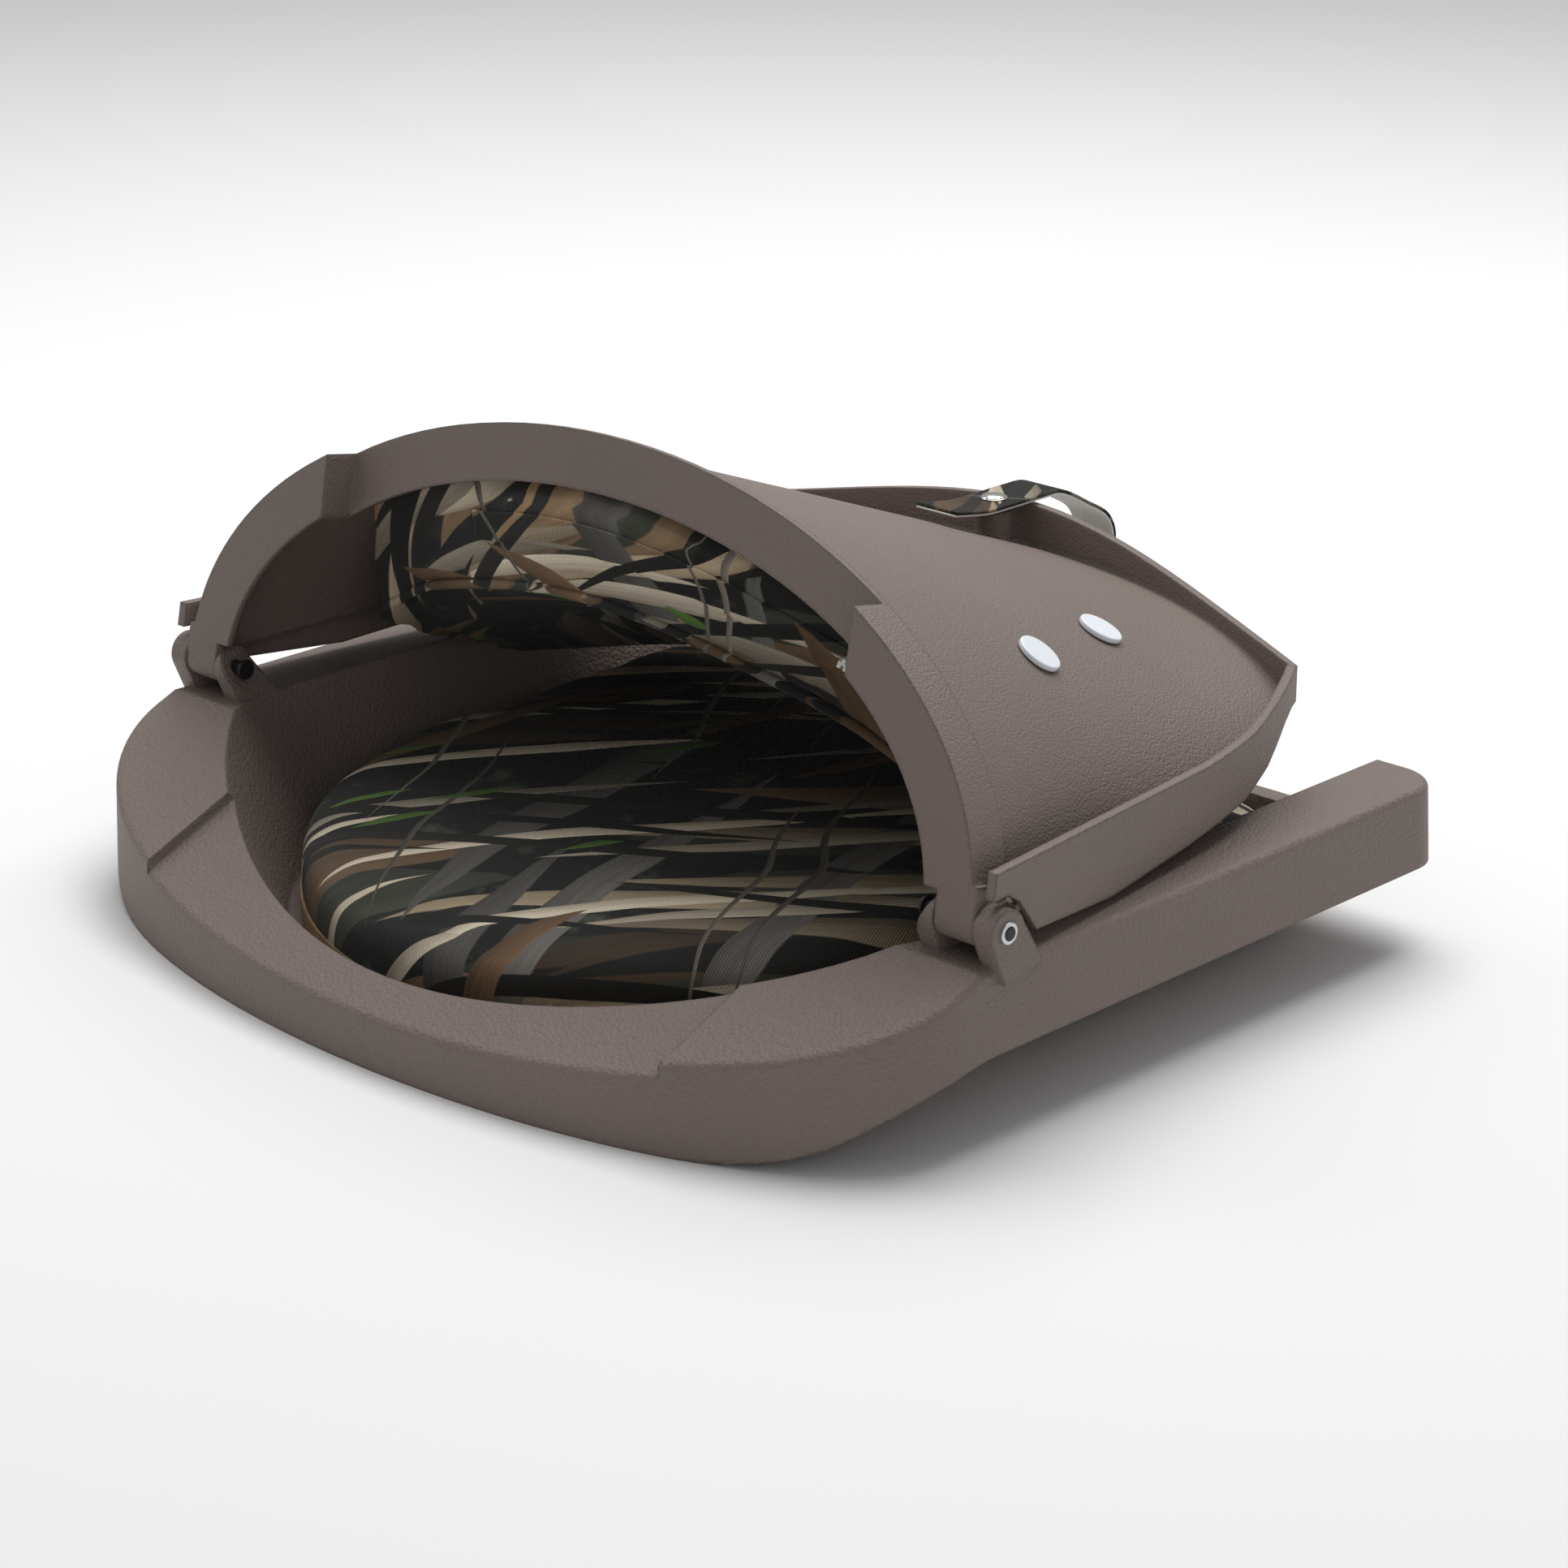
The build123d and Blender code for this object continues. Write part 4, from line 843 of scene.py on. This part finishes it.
class BOATSEAT_OT_back_cushion(bpy.types.Operator):
    """Makes the stuffed back cushion, with the corded seam along its lower rear edge"""

    bl_idname = "boat_seat.back_cushion"
    bl_label = "Back cushion"

    def execute(self, context):
        cushion = skin_copy("back_cover", "back_cushion")
        cells(cushion, settings().stuffing.voxel)
        relax(cushion.data, 3)

        def room(spots):
            low = np.tile((-0.0012, -0.0008, -0.0055), (len(spots), 1))
            high = np.tile((0.0012, 0.0030, 0.0003), (len(spots), 1))
            return low, high

        stuff(cushion, room)
        relax(cushion.data, 2)
        write_uv(cushion.data, back_cloth_place(get_places(cushion.data)))
        dress(cushion, back_cloth())
        subdivided(cushion)
        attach(cushion, "back")
        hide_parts("back_cover", "back_foam")
        self.piping(cushion)
        self.zip(cushion)
        return {"FINISHED"}

    @staticmethod
    def piping(cushion):
        """A cord of cloth along the lower rear edge: a circle carried along the edge."""
        tree = BVHTree.FromObject(cushion, bpy.context.evaluated_depsgraph_get())
        across = np.linspace(-0.168, 0.168, 72)
        behind = rear_arc(across)
        heights = np.array([surface_under(tree, x, y - 0.009) for x, y in zip(across, behind)])
        heights = np.convolve(np.pad(heights, 4, mode="edge"), np.ones(9) / 9, mode="valid")
        line = resample(np.column_stack([across, behind - 0.0030, heights + 0.0030]), 260)
        ahead = np.gradient(line, axis=0)
        ahead /= np.linalg.norm(ahead, axis=1, keepdims=True)
        up = np.tile((0.0, 0.0, 1.0), (len(line), 1))
        side = np.cross(ahead, up)
        side /= np.linalg.norm(side, axis=1, keepdims=True)
        up = np.cross(side, ahead)
        turn = np.linspace(0, 2 * math.pi, 16, endpoint=False)
        radius = settings().trim.piping
        section = radius * np.stack([np.cos(turn), np.sin(turn)], axis=1)
        cord = sweep("back_piping", line, side, up, section)
        write_uv(cord.data, back_cloth_place(get_places(cord.data)))
        dress(cord, back_cloth())
        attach(cord, "back")

    @staticmethod
    def zip(cushion):
        """Zip in the rear face: a tape and two rows of teeth that lie between each other."""
        tree = BVHTree.FromObject(cushion, bpy.context.evaluated_depsgraph_get())
        pitch = settings().trim.tooth
        across = np.linspace(-0.166, 0.079, 60)
        behind = rear_arc(across)
        heights = np.array([surface_under(tree, x, y - 0.012) for x, y in zip(across, behind)]) + 0.031
        heights = np.convolve(np.pad(heights, 4, mode="edge"), np.ones(9) / 9, mode="valid")
        rear = np.array([surface_behind(tree, x, z) for x, z in zip(across, heights)])
        rear = np.convolve(np.pad(rear, 4, mode="edge"), np.ones(9) / 9, mode="valid")
        length = np.linalg.norm(np.diff(np.column_stack([across, rear, heights]), axis=0), axis=1).sum()
        line = resample(np.column_stack([across, rear, heights]), int(length / pitch) * 2)
        ahead = np.gradient(line, axis=0)
        ahead /= np.linalg.norm(ahead, axis=1, keepdims=True)
        out = np.column_stack([-ahead[:, 1], ahead[:, 0], np.zeros(len(line))])
        out *= np.sign(out[:, 1:2])
        out /= np.linalg.norm(out, axis=1, keepdims=True)
        side = np.cross(out, ahead)
        # The tape is of the cover's own cloth and hides the teeth, except near one end.
        section = rounded_bar(0.013, -0.0008, 0.0008, 0.0006, 4, 5)
        tape = sweep("zip_tape", line + out * 0.0002, side, out, section)
        write_uv(tape.data, back_cloth_place(get_places(tape.data)))
        dress(tape, back_cloth())
        shown = line[:, 0] < -0.128
        line, ahead, out, side = line[shown], ahead[shown], out[shown], side[shown]
        # One tooth is a small rounded block; every other one is set to the other side.
        block = np.array([(x, y, z) for z in (0.0, 1.0) for x, y in
                          ((-1, -1), (1, -1), (1, 1), (-1, 1))], float)
        block[4:, :2] *= 0.72
        scale = np.array((pitch * 0.36, 0.0021, 0.0021))
        sign = np.where(np.arange(len(line)) % 2 == 0, 1.0, -1.0)[:, None]
        middle = line + out * 0.0007 + side * sign * 0.0009
        local = block * scale
        spots = (middle[:, None, :] + local[None, :, 0, None] * ahead[:, None, :]
                 + local[None, :, 1, None] * side[:, None, :] + local[None, :, 2, None] * out[:, None, :])
        quads = np.array([(0, 3, 2, 1), (4, 5, 6, 7), (0, 1, 5, 4), (1, 2, 6, 5), (2, 3, 7, 6), (3, 0, 4, 7)])
        faces = (quads[None] + 8 * np.arange(len(line))[:, None, None]).reshape(-1, 4)
        teeth = outward(new_piece("zip_teeth", spots.reshape(-1, 3), faces, smooth=False))
        dress(teeth, plain_finish("zip teeth", (0.66, 0.66, 0.63), 0.0, 0.38, 0.12, 0.06, 900.0))
        for piece in (tape, teeth):
            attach(piece, "back")
        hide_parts("back_zip")


class BOATSEAT_OT_strap(bpy.types.Operator):
    """Makes the strap over the rim, its webbing and the domed snap cap"""

    bl_idname = "boat_seat.strap"
    bl_label = "Strap and snap"

    def execute(self, context):
        line = smooth_line(STRAP_LINE, 110)
        ahead = np.gradient(line, axis=0)
        ahead /= np.linalg.norm(ahead, axis=1, keepdims=True)
        side = np.tile((1.0, 0.0, 0.0), (len(line), 1))
        up = np.cross(ahead, side)
        up *= np.sign(up[:1, 2:3])
        run = np.concatenate([[0], np.cumsum(np.linalg.norm(np.diff(line, axis=0), axis=1))])
        section = rounded_bar(STRAP_WIDTH, -0.00025, 0.00125, 0.0007)
        cloth = sweep("strap_cloth", line, side, up, section)
        spots = get_places(cloth.data)
        nearest = np.repeat(run, len(section))[:len(spots)]
        write_uv(cloth.data, np.column_stack([nearest + 0.31, spots[:, 0] + 0.17]))
        dress(cloth, seat_cloth())
        webbing = sweep("strap_band", line, side, up,
                        rounded_bar(STRAP_WIDTH - 0.0006, -0.00125, -0.0003, 0.0004))
        dress(webbing, plain_finish("white webbing", (0.72, 0.71, 0.68), 0.0, 0.8, 0.1, 0.12, 1100.0))
        for piece, name in ((cloth, "reed_cloth"), (webbing, "white_webbing")):
            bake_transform(piece)
        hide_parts("retaining_strap", "strap_base")
        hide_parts("strap_webbing")
        low, high = (np.array(corner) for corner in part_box("snap_cap"))
        radius = (high[0] - low[0]) / 2
        base = high[2] - 0.0023
        turn = np.linspace(0.03, math.pi / 2, 14)
        dome = [(0.92 * radius * math.sin(a), base + 0.0006 + 0.0017 * math.cos(a)) for a in turn]
        rim = [(radius, base + 0.0007), (radius, base + 0.0002), (0.97 * radius, base - 0.0001),
               (0.05 * radius, base - 0.0001)]
        middle = ((low[0] + high[0]) / 2, (low[1] + high[1]) / 2, 0)
        cap = turned("snap_dome", dome + rim, middle, (0, 0, 1), 64)
        dress(cap, plain_finish("snap cap metal", (0.82, 0.81, 0.78), 1.0, 0.16, 0.08, 0.03, 500.0))
        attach(cap, "strap")
        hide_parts("snap_cap")
        return {"FINISHED"}


class BOATSEAT_OT_stage(bpy.types.Operator):
    """Sets up the floor, the soft lights and the camera"""

    bl_idname = "boat_seat.stage"
    bl_label = "Floor, lights and camera"

    def execute(self, context):
        studio = settings().studio
        scene = context.scene
        level = CAD_BOX[0][2]
        reach = 6.0
        floor = new_piece("floor", [(-reach, -reach, level), (reach, -reach, level), (reach, reach, level),
                                    (-reach, reach, level)], [(0, 1, 2, 3)], smooth=False)
        material, tree, shader = new_material("studio floor")
        spot = place(tree, "ShaderNodeTexCoord").outputs["Object"]
        noise = place(tree, "ShaderNodeTexNoise", {"Vector": spot, "Scale": 3.0})
        pale = tuple(studio.floor_color)
        tree.links.new(blend_colors(tree, noise.outputs["Fac"], pale, tuple(0.985 * c for c in pale)),
                       shader.inputs["Base Color"])
        shader.inputs["Roughness"].default_value = 0.9
        shader.inputs["Specular IOR Level"].default_value = 0.1
        dress(floor, material)
        for name, power, size, spot, aim in (
                ("light above", studio.key_power, 1.9, (0.25, -0.75, 2.1), (0, 0, 0.1)),
                ("light behind camera", studio.fill_power, 1.2, (-2.2, 1.6, 1.3), (0, 0, 0.1)),
                ("light at the side", studio.fill_power * 1.6, 1.4, (2.0, 0.6, 1.6), (0, 0, 0.1))):
            data = bpy.data.lights.new(name, "AREA")
            data.energy, data.size = power, size
            lamp = bpy.data.objects.new(name, data)
            lamp.location = spot
            lamp.rotation_euler = (Vector(aim) - Vector(spot)).to_track_quat("-Z", "Y").to_euler()
            scene.collection.objects.link(lamp)
        world = bpy.data.worlds.new("soft room")
        world.use_nodes = True
        world.node_tree.nodes["Background"].inputs["Color"].default_value = (1, 1, 1, 1)
        world.node_tree.nodes["Background"].inputs["Strength"].default_value = studio.sky
        scene.world = world
        scene.view_settings.view_transform = "Standard"
        turn, tilt = math.radians(43.69), math.radians(19.95)
        aim = Vector((math.sin(turn) * math.cos(tilt), -math.cos(turn) * math.cos(tilt), -math.sin(tilt)))
        data = bpy.data.cameras.new("camera")
        data.lens, data.sensor_width = studio.lens, 36.0
        data.shift_x, data.shift_y = -0.0078, -0.0104
        camera = bpy.data.objects.new("camera", data)
        camera.location = (-1.2367, 1.2506, 0.7070)
        camera.rotation_euler = aim.to_track_quat("-Z", "Y").to_euler()
        scene.collection.objects.link(camera)
        scene.camera = camera
        return {"FINISHED"}


STEPS = (BOATSEAT_OT_stage, BOATSEAT_OT_shells, BOATSEAT_OT_hardware, BOATSEAT_OT_seat_cushion,
         BOATSEAT_OT_back_cushion, BOATSEAT_OT_strap)


class BOATSEAT_PT_panel(bpy.types.Panel):
    """Lists the boat seat's operators"""

    bl_idname = "BOATSEAT_PT_panel"
    bl_label = "Boat Seat"
    bl_space_type = "VIEW_3D"
    bl_region_type = "UI"
    bl_category = "Boat Seat"

    def draw(self, context):
        for step in STEPS:
            self.layout.operator(step.bl_idname)


CLASSES = (ShellFinish, ClothFinish, Stuffing, Trim, Studio, BoatSeatSettings, *STEPS, BOATSEAT_PT_panel)


def register():
    for kind in CLASSES:
        bpy.utils.register_class(kind)
    bpy.types.Scene.boat_seat = PointerProperty(type=BoatSeatSettings)


def unregister():
    del bpy.types.Scene.boat_seat
    for kind in reversed(CLASSES):
        bpy.utils.unregister_class(kind)


def main():
    """Makes everything."""
    register()
    for step in STEPS:
        group_name, call = step.bl_idname.split(".")
        getattr(getattr(bpy.ops, group_name), call)()


if __name__ == "__main__":
    main()
